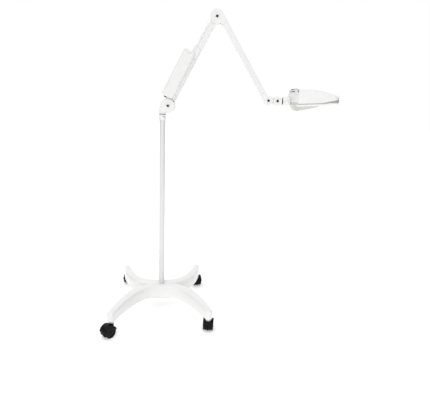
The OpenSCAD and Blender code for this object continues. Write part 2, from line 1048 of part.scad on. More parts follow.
module diffusers() {
    color([0.95, 0.96, 0.97])
        in_lens()
            for (s = [-1, 1])
                translate([lamp_x[0] + 10.2, s * lamp_y - 8.8, -5.4])
                    cube([lamp_x[1] - lamp_x[0] - 10.4, 17.6, 2.6]);
}

module hinge_pin() {
    color([0.12, 0.12, 0.13])
        bar_y(hinge, 2.5, -77, 77);
}

module power_rocker() {
    color([0.1, 0.1, 0.11])
        translate([rocker_pin[0], 0, rocker_pin[1]])
            rotate([0, -rocker_rest, 0])
                slab(rocker_y - 7.5, rocker_y + 7.5) {
                    polygon([[-8.5, -9], [-7.6, 0], [-8.5, 9], [-4, 9.6], [0, 4], [0, -4], [-4, -9.6]]);
                    circle(4);
                }
}

module lid_side() {
    translate([head_x, head_z])
        polygon([[18, -6.5], [18, 49.5], [26, 51.4], [38, 52.3], [78, 52.5], [96, 50.6], [114, 47.6],
                 [153, 38.4], [179.5, 30.6], [185.5, 28], [head_len, 23.5], [head_len, 18], [114, 0]]);
}

module lid_room() {
    translate([head_x, head_z])
        polygon([[10, -20], [10, 46.6], [26, 48.6], [38, 49.6], [78, 49.8], [95, 48], [113, 45],
                 [152, 35.8], [178.5, 28], [182, 26.4], [head_len - 2.6, 22], [head_len - 2.6, 10], [114, -20]]);
}

module head_lid() {
    half = head_w / 2;
    color([0.93, 0.93, 0.91])
        difference() {
            union() {
                difference() {
                    intersection() {
                        slab(-half, half)
                            lid_side();
                        in_plan(0);
                    }
                    intersection() {
                        slab(-half + shell, half - shell)
                            lid_room();
                        in_plan(shell);
                    }
                }
                for (s = [-1, 1])
                    slab(s * 55 - 12, s * 55 + 12) {
                        disc(hinge, 5.4);
                        translate([hinge[0], hinge[1]])
                            square([14, 3.6]);
                    }
            }
            bar_y(hinge, 2.5 + run, -half - 1, half + 1);
            translate([tip_x - 18, -half - 1, head_z + 20])
                difference() {
                    cube([30, head_w + 2, 2.4]);
                    translate([-tip_x + 18, half + 1, -20 - head_z])
                        in_plan(1.4);
                }
        }
}

// ---- one line for each sub-part ----

front_arch();
rear_arch();
hub_core();
hub_screws();
pole();
pole_sleeve();
pole_set_screw();
caster_sockets();
caster_stem(0);  // caster_stem_fl
caster_hood(0);  // caster_hood_fl
caster_axle(0);  // caster_axle_fl
caster_wheel(0, -1);  // caster_wheel_fl_a
caster_wheel(0, 1);  // caster_wheel_fl_b
caster_stem(1);  // caster_stem_fr
caster_hood(1);  // caster_hood_fr
caster_axle(1);  // caster_axle_fr
caster_wheel(1, -1);  // caster_wheel_fr_a
caster_wheel(1, 1);  // caster_wheel_fr_b
caster_stem(2);  // caster_stem_rl
caster_hood(2);  // caster_hood_rl
caster_axle(2);  // caster_axle_rl
caster_wheel(2, -1);  // caster_wheel_rl_a
caster_wheel(2, 1);  // caster_wheel_rl_b
caster_stem(3);  // caster_stem_rr
caster_hood(3);  // caster_hood_rr
caster_axle(3);  // caster_axle_rr
caster_wheel(3, -1);  // caster_wheel_rr_a
caster_wheel(3, 1);  // caster_wheel_rr_b
swivel_bracket();
shoulder_bolt();
lower_end();
lower_tube();
cable_cover();
upper_end();
saddle();
ballast_case();
ballast_cap();
ballast_core();
saddle_screws();
cable_gland();
elbow_fork();
fore_tube();
wrist_fork();
elbow_bolt();
wrist_bolt();
wrist_link();
tilt_knuckle();
tilt_bolt();
head_neck();
head_frame();
lamp_housing();
lens();
lens_ring();
reflectors();
lamp_tubes();
diffusers();
hinge_pin();
power_rocker();
head_lid();
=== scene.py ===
import math

import bpy
import bmesh
from mathutils import Matrix, Vector


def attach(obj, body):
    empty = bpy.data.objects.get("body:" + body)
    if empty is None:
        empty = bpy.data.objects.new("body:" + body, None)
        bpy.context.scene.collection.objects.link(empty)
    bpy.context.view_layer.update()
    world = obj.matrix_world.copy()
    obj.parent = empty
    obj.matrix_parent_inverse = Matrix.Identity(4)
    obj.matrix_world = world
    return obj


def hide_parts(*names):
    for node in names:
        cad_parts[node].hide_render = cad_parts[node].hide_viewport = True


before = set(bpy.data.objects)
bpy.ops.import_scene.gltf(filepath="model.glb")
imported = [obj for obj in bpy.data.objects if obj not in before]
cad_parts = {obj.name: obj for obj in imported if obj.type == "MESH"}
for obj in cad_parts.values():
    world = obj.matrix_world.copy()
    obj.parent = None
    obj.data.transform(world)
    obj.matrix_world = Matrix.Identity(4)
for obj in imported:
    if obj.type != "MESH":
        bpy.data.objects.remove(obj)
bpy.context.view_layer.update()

MM = 0.001
SENSOR_WIDTH, IMAGE_WIDTH = 36.0, 430


# ---- camera, light and floor ----

def look_at(azimuth, elevation, roll, distance, target, focal_px):
    """Camera at an azimuth round the target (0 looks along +Y), rolled clockwise by roll."""
    az, el, ro = (math.radians(a) for a in (azimuth, elevation, roll))
    back = Vector((math.sin(az) * math.cos(el), -math.cos(az) * math.cos(el), math.sin(el)))
    right = (-back).cross(Vector((0, 0, 1))).normalized()
    up = right.cross(-back)
    x = right * math.cos(ro) + up * math.sin(ro)
    y = up * math.cos(ro) - right * math.sin(ro)
    data = bpy.data.cameras.new("view")
    data.sensor_width = SENSOR_WIDTH
    data.lens = focal_px / IMAGE_WIDTH * SENSOR_WIDTH
    data.clip_end = 50
    camera = bpy.data.objects.new("view", data)
    bpy.context.scene.collection.objects.link(camera)
    m = Matrix((x, y, back)).transposed().to_4x4()
    m.translation = Vector(target) + back * distance
    camera.matrix_world = m
    bpy.context.scene.camera = camera


def add_node(tree, kind, values=None, **settings):
    """New shader node with its settings and the values of its inputs."""
    node = tree.nodes.new("ShaderNode" + kind)
    for key, value in settings.items():
        setattr(node, key, value)
    for key, value in (values or {}).items():
        node.inputs[key].default_value = value
    return node


look_at(azimuth=-0.18, elevation=15.6, roll=2.53, distance=1.768, target=(0.2406, 0, 0.5369),
        focal_px=389.2)
bpy.context.scene.view_settings.view_transform = "Standard"

world = bpy.data.worlds.new("studio")
bpy.context.scene.world = world
world.use_nodes = True
sky, links = world.node_tree, world.node_tree.links
# white all round, with a dark flag at either side
coords = add_node(sky, "TexCoord")
split = add_node(sky, "SeparateXYZ")
sideways = add_node(sky, "Math", operation="ABSOLUTE")
flag = add_node(sky, "MapRange", {"From Min": 0.6, "From Max": 0.85, "To Min": 1.0, "To Max": 0.05},
                interpolation_type="SMOOTHSTEP")
backdrop = sky.nodes["Background"]
links.new(coords.outputs["Generated"], split.inputs[0])
links.new(split.outputs["X"], sideways.inputs[0])
links.new(sideways.outputs[0], flag.inputs["Value"])
links.new(flag.outputs["Result"], backdrop.inputs["Strength"])
backdrop.inputs["Color"].default_value = (1, 1, 1, 1)


def lamp(name, kind, place, target, power, **values):
    """Light at a place that shines at a target."""
    data = bpy.data.lights.new(name, kind)
    data.energy = power
    for key, value in values.items():
        setattr(data, key, value)
    o = bpy.data.objects.new(name, data)
    bpy.context.scene.collection.objects.link(o)
    o.location = place
    o.rotation_euler = (Vector(target) - Vector(place)).to_track_quat("-Z", "Y").to_euler()


lamp("sky", "SUN", (-0.8, -1.1, 3.0), (0, 0, 0), 0.6, angle=math.radians(70))
lamp("key", "AREA", (-1.6, -2.4, 2.4), (0.2, 0, 0.6), 3, shape="DISK", size=1.6)

FLOOR_HALF = 12
floor_mesh = bpy.data.meshes.new("floor")
corners = [(x * FLOOR_HALF, y * FLOOR_HALF, 0) for x, y in ((-1, -1), (1, -1), (1, 1), (-1, 1))]
floor_mesh.from_pydata(corners, [], [(0, 1, 2, 3)])
floor = bpy.data.objects.new("floor", floor_mesh)
bpy.context.scene.collection.objects.link(floor)
floor_mat = bpy.data.materials.new("floor")
floor_mat.use_nodes = True
for key, value in (("Base Color", (0.96, 0.96, 0.96, 1)), ("Roughness", 0.9),
                   ("Emission Color", (1, 1, 1, 1)), ("Emission Strength", 0.25)):
    floor_mat.node_tree.nodes["Principled BSDF"].inputs[key].default_value = value
floor_mesh.materials.append(floor_mat)


# ---- materials ----

def surface(name, base, tint, rough, rough_span=0.08, metallic=0.0, mottle=14.0, grain=900.0, depth=0.02,
            stretch=(1, 1, 1), wear=None, wear_reach=0.0006, coat=0.0, coat_rough=0.15, spec=0.5,
            extra=None):
    """Procedural finish: slow mottling between two tones, fine grain as bump, and worn edges."""
    mat = bpy.data.materials.new(name)
    mat.use_nodes = True
    nt = mat.node_tree
    link_to = nt.links.new
    bsdf = nt.nodes["Principled BSDF"]
    bsdf.inputs["Metallic"].default_value = metallic
    bsdf.inputs["Coat Weight"].default_value = coat
    bsdf.inputs["Coat Roughness"].default_value = coat_rough
    bsdf.inputs["Specular IOR Level"].default_value = spec
    coords = add_node(nt, "TexCoord")
    scale = add_node(nt, "Mapping", {"Scale": stretch})
    link_to(coords.outputs["Object"], scale.inputs["Vector"])

    slow = add_node(nt, "TexNoise", {"Scale": mottle, "Detail": 5})
    link_to(coords.outputs["Object"], slow.inputs["Vector"])
    colour = add_node(nt, "Mix", data_type="RGBA")
    colour.inputs[6].default_value = (*base, 1)
    colour.inputs[7].default_value = (*tint, 1)
    band = add_node(nt, "MapRange", {"From Min": 0.35, "From Max": 0.7})
    link_to(slow.outputs["Fac"], band.inputs["Value"])
    link_to(band.outputs["Result"], colour.inputs["Factor"])
    tone = colour.outputs[2]

    fine = add_node(nt, "TexNoise", {"Scale": grain, "Detail": 3})
    link_to(scale.outputs["Vector"], fine.inputs["Vector"])
    rub = add_node(nt, "MapRange", {"To Min": rough - rough_span, "To Max": rough + rough_span})
    mixed = add_node(nt, "Math", operation="ADD")
    half = add_node(nt, "Math", {1: 0.5}, operation="MULTIPLY")
    link_to(slow.outputs["Fac"], mixed.inputs[0])
    link_to(fine.outputs["Fac"], mixed.inputs[1])
    link_to(mixed.outputs[0], half.inputs[0])
    link_to(half.outputs[0], rub.inputs["Value"])
    link_to(rub.outputs["Result"], bsdf.inputs["Roughness"])

    height = fine.outputs["Fac"]
    if extra:
        height = extra(nt, scale.outputs["Vector"], height)
    if wear:
        edge = add_node(nt, "Bevel", {"Radius": wear_reach})
        geo = add_node(nt, "NewGeometry")
        turn = add_node(nt, "VectorMath", operation="DOT_PRODUCT")
        link_to(edge.outputs["Normal"], turn.inputs[0])
        link_to(geo.outputs["Normal"], turn.inputs[1])
        rim = add_node(nt, "MapRange", {"From Min": 0.96, "From Max": 0.8})
        link_to(turn.outputs["Value"], rim.inputs["Value"])
        worn = add_node(nt, "Math", operation="MULTIPLY")
        link_to(rim.outputs["Result"], worn.inputs[0])
        link_to(band.outputs["Result"], worn.inputs[1])
        over = add_node(nt, "Mix", data_type="RGBA")
        over.inputs[7].default_value = (*wear, 1)
        link_to(worn.outputs[0], over.inputs["Factor"])
        link_to(tone, over.inputs[6])
        tone = over.outputs[2]
    link_to(tone, bsdf.inputs["Base Color"])
    bump = add_node(nt, "Bump", {"Strength": 1.0, "Distance": depth * MM})
    link_to(height, bump.inputs["Height"])
    link_to(bump.outputs["Normal"], bsdf.inputs["Normal"])
    return mat


def cells(scale, weight, randomness=1.0):
    """Adds a moulded leather-like grain of small cells to the bump."""
    def build(nt, vector, height):
        grain = add_node(nt, "TexVoronoi", {"Scale": scale, "Randomness": randomness})
        nt.links.new(vector, grain.inputs["Vector"])
        part = add_node(nt, "Math", {1: weight}, operation="MULTIPLY_ADD")
        nt.links.new(grain.outputs["Distance"], part.inputs[0])
        nt.links.new(height, part.inputs[2])
        return part.outputs[0]
    return build


def clear_glass(name):
    mat = surface(name, (0.97, 0.99, 0.985), (0.95, 0.985, 0.98), 0.03, 0.02, mottle=30, grain=120,
                  depth=0.0005)
    bsdf = mat.node_tree.nodes["Principled BSDF"]
    bsdf.inputs["Transmission Weight"].default_value = 1.0
    bsdf.inputs["IOR"].default_value = 1.52
    return mat


MAT = {
    "gloss_white": surface(
        "gloss_white_paint", (0.83, 0.83, 0.82), (0.85, 0.85, 0.845), 0.24, 0.04, mottle=9, grain=420,
        depth=0.008, wear=(0.72, 0.72, 0.70), coat=0.35, coat_rough=0.08),
    "pole": surface(
        "pole_paint", (0.73, 0.74, 0.75), (0.76, 0.77, 0.775), 0.34, 0.04, metallic=0.1, mottle=11,
        grain=800, depth=0.003, stretch=(1, 1, 0.03), coat=0.15),
    "sleeve": surface(
        "sleeve_paint", (0.80, 0.80, 0.79), (0.84, 0.84, 0.83), 0.3, 0.05, mottle=40, grain=900,
        depth=0.008, wear=(0.66, 0.66, 0.65)),
    "cast": surface(
        "cast_white_paint", (0.80, 0.80, 0.795), (0.82, 0.82, 0.815), 0.36, 0.05, mottle=26, grain=520,
        depth=0.008, wear=(0.36, 0.36, 0.35), wear_reach=0.0018, coat=0.1),
    "tube": surface(
        "brushed_white_tube", (0.79, 0.79, 0.785), (0.81, 0.81, 0.805), 0.38, 0.04, mottle=12, grain=1500,
        depth=0.003, stretch=(0.02, 1, 1), wear=(0.45, 0.45, 0.44), wear_reach=0.0015),
    "cover": surface(
        "cover_plastic", (0.80, 0.80, 0.795), (0.82, 0.82, 0.815), 0.42, 0.04, mottle=22, grain=1300,
        depth=0.004, extra=cells(1800, 0.4)),
    "case": surface(
        "case_plastic", (0.80, 0.80, 0.79), (0.82, 0.82, 0.81), 0.38, 0.05, mottle=16, grain=1300,
        depth=0.006, wear=(0.66, 0.66, 0.64), wear_reach=0.001, extra=cells(1500, 0.5)),
    "cap": surface(
        "cap_plastic", (0.83, 0.83, 0.82), (0.85, 0.85, 0.84), 0.3, 0.05, mottle=25, grain=1300,
        depth=0.004, extra=cells(2200, 0.4)),
    "shell": surface(
        "head_plastic", (0.82, 0.82, 0.815), (0.84, 0.84, 0.835), 0.4, 0.05, mottle=15, grain=1500,
        depth=0.006, wear=(0.66, 0.66, 0.64), wear_reach=0.001, extra=cells(1400, 0.5)),
    # Grey housing plastic, made darker still as painted shade: it stands for the shade on the head's downward- and
    # rear-facing faces (lamp housing and rear sill).
    "shade": surface(
        "housing_plastic_painted_shade", (0.60, 0.61, 0.56), (0.64, 0.65, 0.60), 0.46, 0.06, mottle=18, grain=1500,
        depth=0.010, extra=cells(1400, 0.6)),
    # Grey-olive band under the lid's edge is painted shadow: it stands for the shaded gap between lid and frame.
    "painted_shadow_band": surface(
        "painted_shadow_band_grey", (0.34, 0.35, 0.31), (0.40, 0.41, 0.37), 0.6, 0.06, mottle=60, grain=1500,
        depth=0.012),
    "nylon": surface(
        "black_nylon", (0.005, 0.005, 0.006), (0.009, 0.009, 0.009), 0.42, 0.08, mottle=45, grain=1600,
        depth=0.02, wear=(0.03, 0.03, 0.03), spec=0.12),
    "tread": surface(
        "tread_plastic", (0.008, 0.008, 0.009), (0.014, 0.014, 0.014), 0.62, 0.1, mottle=60, grain=700,
        depth=0.05, wear=(0.04, 0.04, 0.04), spec=0.12),
    "hub": surface(
        "wheel_plastic", (0.007, 0.007, 0.008), (0.012, 0.012, 0.012), 0.4, 0.08, mottle=50, grain=1500,
        depth=0.02, wear=(0.04, 0.04, 0.04), spec=0.12),
    "knob": surface(
        "switch_plastic", (0.013, 0.013, 0.014), (0.02, 0.02, 0.02), 0.3, 0.06, mottle=90, grain=1800,
        depth=0.008, wear=(0.05, 0.05, 0.05)),
    "socket": surface(
        "socket_shade", (0.006, 0.006, 0.007), (0.012, 0.012, 0.012), 0.7, 0.1, metallic=0.2, mottle=200,
        grain=1800, depth=0.01, spec=0.1),
    "zinc": surface(
        "zinc_steel", (0.56, 0.56, 0.55), (0.66, 0.66, 0.65), 0.3, 0.1, metallic=1.0, mottle=120,
        grain=900, depth=0.008, wear=(0.8, 0.8, 0.8), extra=cells(350, 0.3)),
    "bolt": surface(
        "bolt_steel", (0.60, 0.60, 0.60), (0.70, 0.70, 0.70), 0.26, 0.08, metallic=1.0, mottle=100,
        grain=2200, depth=0.006, stretch=(1, 0.1, 1), wear=(0.85, 0.85, 0.85)),
    "rubber": surface(
        "gland_rubber", (0.02, 0.02, 0.021), (0.035, 0.035, 0.035), 0.7, 0.08, mottle=80, grain=1500,
        depth=0.03),
    "ballast": surface(
        "ballast_steel", (0.23, 0.23, 0.24), (0.30, 0.29, 0.28), 0.55, 0.15, metallic=0.8, mottle=40,
        grain=500, depth=0.06, extra=cells(240, 0.7)),
    "mirror": surface(
        "reflector_metal", (0.80, 0.81, 0.82), (0.86, 0.87, 0.88), 0.2, 0.06, metallic=1.0, mottle=30,
        grain=1600, depth=0.004, stretch=(0.04, 1, 1)),
    "tube_glass": surface(
        "lamp_glass", (0.86, 0.87, 0.84), (0.9, 0.9, 0.88), 0.15, 0.04, mottle=30, grain=600, depth=0.003,
        coat=0.5),
    "frosted": surface(
        "frosted_plastic", (0.84, 0.86, 0.87), (0.88, 0.9, 0.9), 0.5, 0.05, mottle=30, grain=1200,
        depth=0.02, extra=cells(700, 1.0, 0.3)),
    "glass": clear_glass("lens_glass"),
}


# ---- mesh helpers ----

UPRIGHT = Matrix.Identity(4)


def link(name, mesh):
    o = bpy.data.objects.new(name, mesh)
    bpy.context.scene.collection.objects.link(o)
    return o


def to_object(name, bm):
    """New object from a bmesh, which is freed."""
    mesh = bpy.data.meshes.new(name)
    bm.to_mesh(mesh)
    bm.free()
    return link(name, mesh)


def bake(o):
    """Applies o's modifiers to its mesh."""
    graph = bpy.context.evaluated_depsgraph_get()
    graph.update()
    mesh = bpy.data.meshes.new_from_object(o.evaluated_get(graph))
    old = o.data
    o.modifiers.clear()
    o.data = mesh
    mesh.name = o.name
    bpy.data.meshes.remove(old)
    return o


def shade(o, angle=32):
    for p in o.data.polygons:
        p.use_smooth = True
    o.data.set_sharp_from_angle(angle=math.radians(angle))
    return o


def soften(o, width, segments=3, angle=28):
    """Rounds every edge sharper than angle, width in millimetres."""
    m = o.modifiers.new("round", "BEVEL")
    m.width = width * MM
    m.segments = segments
    m.limit_method = "ANGLE"
    m.angle_limit = math.radians(angle)
    return bake(o)


def boolean(o, operation, tools):
    """Combines o with each tool object in turn and removes the tools."""
    for t in tools:
        m = o.modifiers.new("boolean", "BOOLEAN")
        m.operation = operation
        m.solver = "EXACT"
        m.object = t
        bake(o)
        bpy.data.objects.remove(t)


def cut(o, *tools):
    boolean(o, "DIFFERENCE", tools)


def join(o, *others):
    boolean(o, "UNION", others)


def merge(name, objs):
    """One object made of several separate ones, each already in place."""
    bm = bmesh.new()
    mats = []
    for o in objs:
        part = o.data.copy()
        part.transform(o.matrix_world)
        base = len(mats)
        mats += list(o.data.materials)
        for p in part.polygons:
            p.material_index += base
        bm.from_mesh(part)
        bpy.data.meshes.remove(part)
    for o in objs:
        bpy.data.objects.remove(o)
    whole = to_object(name, bm)
    for m in mats:
        whole.data.materials.append(m)
    return whole


def outline(points, radii, steps=6):
    """Closed outline with each corner rounded to its own radius."""
    n = len(points)
    if not hasattr(radii, "__len__"):
        radii = [radii] * n
    out = []
    for i in range(n):
        p = Vector(points[i])
        a = Vector(points[i - 1]) - p
        b = Vector(points[(i + 1) % n]) - p
        r = radii[i]
        if r <= 0:
            out.append(p)
            continue
        la, lb = a.length, b.length
        a.normalize()
        b.normalize()
        turn = math.acos(max(-1, min(1, a.dot(b))))
        reach = min(r / math.tan(turn / 2), 0.49 * la, 0.49 * lb)
        r = reach * math.tan(turn / 2)
        centre = p + (a + b).normalized() * (r / math.sin(turn / 2))
        s = p + a * reach - centre
        e = p + b * reach - centre
        span = math.acos(max(-1, min(1, s.dot(e) / (r * r))))
        sign = 1 if s.x * e.y - s.y * e.x > 0 else -1
        for k in range(steps + 1):
            t = sign * span * k / steps
            out.append(centre + Vector((s.x * math.cos(t) - s.y * math.sin(t),
                                        s.x * math.sin(t) + s.y * math.cos(t))))
    return out


def arc(c, r, a, b, n=28):
    """Points on an arc from angle a to b in degrees, either way round."""
    return [Vector((c[0] + r * math.cos(math.radians(a + (b - a) * k / n)),
                    c[1] + r * math.sin(math.radians(a + (b - a) * k / n)))) for k in range(n + 1)]


def circle_pts(c, r, n):
    return arc(c, r, 0, 360, n)[:-1]


def across(u, v, w):
    """Outline in X and Z, run along Y."""
    return u, w, v


def along(u, v, w):
    """Outline in Y and Z, run along X."""
    return w, u, v


def upward(u, v, w):
    """Outline in X and Y, run along Z."""
    return u, v, w


def extrude(name, pts, lo, hi, place=across):
    """Prism of an outline. place maps (u, v, w) in millimetres to the piece's frame, w from lo to hi."""
    bm = bmesh.new()
    a = [bm.verts.new(Vector(place(p[0], p[1], lo)) * MM) for p in pts]
    b = [bm.verts.new(Vector(place(p[0], p[1], hi)) * MM) for p in pts]
    bm.faces.new(a)
    bm.faces.new(b[::-1])
    n = len(pts)
    for i in range(n):
        bm.faces.new((a[i], a[(i + 1) % n], b[(i + 1) % n], b[i]))
    bmesh.ops.recalc_face_normals(bm, faces=bm.faces)
    return to_object(name, bm)


def lathe(name, profile, matrix=UPRIGHT, steps=64):
    """Revolves (radius, height) points about the local Z of matrix, in millimetres."""
    bm = bmesh.new()
    rings = []
    for r, h in profile:
        if r < 1e-6:
            rings.append([bm.verts.new((0, 0, h * MM))])
        else:
            rings.append([bm.verts.new((r * math.cos(2 * math.pi * k / steps) * MM,
                                        r * math.sin(2 * math.pi * k / steps) * MM, h * MM))
                          for k in range(steps)])
    for a, b in zip(rings, rings[1:]):
        for k in range(steps):
            j = (k + 1) % steps
            quad = [a[k % len(a)], a[j % len(a)], b[j % len(b)], b[k % len(b)]]
            quad = [v for i, v in enumerate(quad) if v not in quad[:i]]
            if len(quad) > 2:
                bm.faces.new(quad)
    bmesh.ops.recalc_face_normals(bm, faces=bm.faces)
    o = to_object(name, bm)
    o.data.transform(matrix)
    return o


def axis_matrix(at, direction):
    """Frame at a point in millimetres whose Z runs along direction."""
    m = Vector(direction).to_track_quat("Z", "Y").to_matrix().to_4x4()
    m.translation = Vector(at) * MM
    return m


def rounded_profile(points, radii, steps=4):
    """Open lathe profile with its inner corners rounded."""
    closed = outline(points, radii, steps)
    return [(p.x, p.y) for p in closed]


def loft(name, rings):
    """Capped skin over closed rings of equal length, in millimetres."""
    bm = bmesh.new()
    vs = [[bm.verts.new(Vector(p) * MM) for p in ring] for ring in rings]
    n = len(vs[0])
    for a, b in zip(vs, vs[1:]):
        for k in range(n):
            j = (k + 1) % n
            bm.faces.new((a[k], a[j], b[j], b[k]))
    bm.faces.new(vs[0][::-1])
    bm.faces.new(vs[-1])
    bmesh.ops.recalc_face_normals(bm, faces=bm.faces)
    return to_object(name, bm)


# ---- places, in millimetres, as in the design ----

POLE_TOP = 918
BASE_YAW = math.radians(7)
BEAM_Z, BEAM_H = 61, 52
REACH, APEX = 229, 18
TIPS = {"fl": (-207, -229), "fr": (207, -229), "rl": (-183, 229), "rr": (183, 229)}
TURN = {"fl": 236, "fr": 88, "rl": 84, "rr": 285}
TRAIL, WHEEL_R, WHEEL_W, WEB = 18, 25, 18, 8
RISE, FALL = math.radians(61.5), math.radians(54)
LOWER_LEN, FORE_LEN = 404, 391
SHOULDER = (24, 953)
ELBOW = (SHOULDER[0] + LOWER_LEN * math.cos(RISE), SHOULDER[1] + LOWER_LEN * math.sin(RISE))
WRIST = (ELBOW[0] + FORE_LEN * math.cos(FALL), ELBOW[1] - FORE_LEN * math.sin(FALL))
TILT = (WRIST[0] + 38, WRIST[1])
HEAD = (TILT[0] + 53, TILT[1])
LENS_X = 107
TUBE_H, TUBE_W = 22, 20
LOWER_SKEW, LOWER_OFF = math.radians(1.3), -17.5
FORE_SKEW, FORE_OFF = math.radians(3), 15.2


def arm_frame(at, rise, skew=0.0, off=0.0):
    """Frame with X along an arm section, Y across and Z to its upper side."""
    m = Matrix.Rotation(-rise, 4, "Y")
    m.translation = Vector((at[0], 0, at[1])) * MM
    return m @ Matrix.Translation((0, 0, off * MM)) @ Matrix.Rotation(-skew, 4, "Y")


F_LOWER = arm_frame(SHOULDER, RISE)
F_LTUBE = arm_frame(SHOULDER, RISE, LOWER_SKEW, LOWER_OFF)
F_FORE = arm_frame(ELBOW, -FALL)
F_FTUBE = arm_frame(ELBOW, -FALL, -FORE_SKEW, FORE_OFF)
F_HEAD = Matrix.Translation((HEAD[0] * MM, 0, HEAD[1] * MM))
F_LENS = Matrix.Translation(((HEAD[0] + LENS_X) * MM, 0, (HEAD[1] - 2) * MM)) @ Matrix.Rotation(
    -math.radians(5.5), 4, "Y")
F_BASE = Matrix.Rotation(BASE_YAW, 4, "Z")


def put(o, frame_matrix):
    o.matrix_world = frame_matrix
    bpy.context.view_layer.update()
    return o


def slab(name, pts, lo, hi, frame_matrix=None):
    """Prism across Y of an outline drawn in X and Z."""
    o = extrude(name, pts, lo, hi)
    return put(o, frame_matrix) if frame_matrix else o


def pin(name, at, r, lo, hi, frame_matrix=None, steps=48):
    return slab(name, circle_pts(at, r, steps), lo, hi, frame_matrix)


def done(o, body, slot, material, *nodes, angle=32):
    """Finishes a piece: shading, material, body and the CAD nodes it stands for."""
    shade(o, angle)
    if material is not None:
        o.data.materials.clear()
        o.data.materials.append(material)
    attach(o, body)
    if nodes:
        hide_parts(*nodes)
    return o


# ---- base ----

def arch_line(half_span, radius, half_angle):
    """An arch's centre-line from its apex to one tip, as points with their outward normals."""
    a = math.radians(half_angle)
    centre = Vector((0, -APEX - radius))
    away = Vector((math.sin(a), math.cos(a)))
    knee = centre + radius * away
    leg = Vector((half_span, -REACH)) - knee
    turn = 2 * (math.atan2(-leg.y, leg.x) - a)
    leg_r = leg.length / (2 * math.sin(turn / 2))
    turns = [(centre, radius, a * k / 24) for k in range(24)]
    turns += [(knee - leg_r * away, leg_r, a + turn * k / 16) for k in range(17)]
    out = []
    for c, r, t in turns:
        normal = Vector((math.sin(t), math.cos(t)))
        out.append((c + r * normal, normal))
    return out


def beam(name, half_span, radius, half_angle, flip):
    """Curved beam that narrows from the pole to its two rounded, drooping noses."""
    line = arch_line(half_span, radius, half_angle)
    run = [0.0]
    for (p, _), (q, _) in zip(line, line[1:]):
        run.append(run[-1] + (q - p).length)
    stations = []
    for (p, n), d in zip(line, run):
        s = d / run[-1]
        bulge = math.sin(math.pi * s)
        stations.append((p + 11 * bulge * n, n, 44 + 6 * bulge - 11 * s ** 1.6, 0.0, s))
    tip, n = line[-1]
    along = Vector((n.y, -n.x))
    for phi in (12, 24, 35, 46, 56, 65, 73, 80, 86):
        a = math.radians(phi)
        stations.append((tip + along * 16.5 * math.sin(a), n, 33 * math.cos(a), 1 - math.cos(a), 1.0))
    rings = []
    for p, n, width, nose, s in stations:
        top = BEAM_H + 10 * (1 - s ** 1.5) - 5 * s ** 3 - 13 * nose
        low = 0.3 + 8 * nose
        h = top - low
        edge = min(12.5, 0.46 * h, 0.49 * width)
        ring = outline([(-width / 2, low), (width / 2, low), (width / 2, top), (-width / 2, top)],
                       [edge * 0.7, edge * 0.7, edge, edge], 6)
        rings.append([(p.x + n.x * q.x, p.y + n.y * q.x, BEAM_Z + q.y) for q in ring])
    other = [[(-x, y, z) for x, y, z in ring] for ring in rings[:0:-1]]
    rings = other + rings
    o = loft(name, rings)
    bm = bmesh.new()
    bm.from_mesh(o.data)
    res = bmesh.ops.bisect_plane(bm, geom=bm.verts[:] + bm.edges[:] + bm.faces[:], dist=1e-6,
                                 plane_co=(0, -0.25 * MM, 0), plane_no=(0, 1, 0), clear_outer=True)
    rim = [g for g in res["geom_cut"] if isinstance(g, bmesh.types.BMEdge)]
    bmesh.ops.holes_fill(bm, edges=rim, sides=0)
    bmesh.ops.recalc_face_normals(bm, faces=bm.faces)
    bm.to_mesh(o.data)
    bm.free()
    hole = lathe("hole", [(0, 40), (12.6, 40), (12.6, 140), (0, 140)], steps=48)
    cut(o, hole)
    core = lathe("core", [(0, 50), (18.2, 50), (18.2, 106.4), (0, 106.4)], steps=48)
    cut(o, core)
    m = F_BASE @ (Matrix.Rotation(math.pi, 4, "Z") if flip else UPRIGHT)
    return put(o, m)


done(beam("arch_front", 207, 140, 53, False), "base", "white_paint", MAT["gloss_white"], "front_arch")
done(beam("arch_rear", 183, 150, 60, True), "base", "white_paint", MAT["gloss_white"], "rear_arch")


def round_tube(name, r_out, r_in, lo, hi, chamfer):
    bit = 0.3 * chamfer
    return lathe(name, [(r_in, lo), (r_out - chamfer, lo), (r_out - bit, lo + bit), (r_out, lo + chamfer),
                        (r_out, hi - chamfer), (r_out - bit, hi - bit), (r_out - chamfer, hi), (r_in, hi),
                        (r_in, lo)])


pole = round_tube("pole_tube", 12.5, 10.6, 65.3, POLE_TOP, 0.5)
done(pole, "base", "pole_finish", MAT["pole"], "pole")
# Black nylon bush at the pole top; it stands proud between sleeve and collar, where its dark ring also serves as
# painted shadow of the gap.
bush_painted_gap_shadow = round_tube("bush_painted_gap_shadow", 13.5, 12.6, POLE_TOP - 2.6, POLE_TOP, 0.3)
done(bush_painted_gap_shadow, "base", "black_plastic", MAT["nylon"])
sleeve = round_tube("sleeve", 14.1, 12.55, POLE_TOP - 25, POLE_TOP - 2.2, 0.7)
screw_side = math.radians(-59)
screw_at = axis_matrix((0, 0, POLE_TOP - 11), (math.cos(screw_side), math.sin(screw_side), 0))
cut(sleeve, lathe("bore", [(0, 0), (2.35, 0), (2.35, 30), (0, 30)], screw_at, 24))
done(sleeve, "base", "pole_finish", MAT["sleeve"], "pole_sleeve")


# ---- casters ----

def caster_frame(key):
    x, y = TIPS[key]
    m = Matrix.Translation(F_BASE @ Vector((x * MM, y * MM, 0)))
    return m @ Matrix.Rotation(math.radians(TURN[key]), 4, "Z")


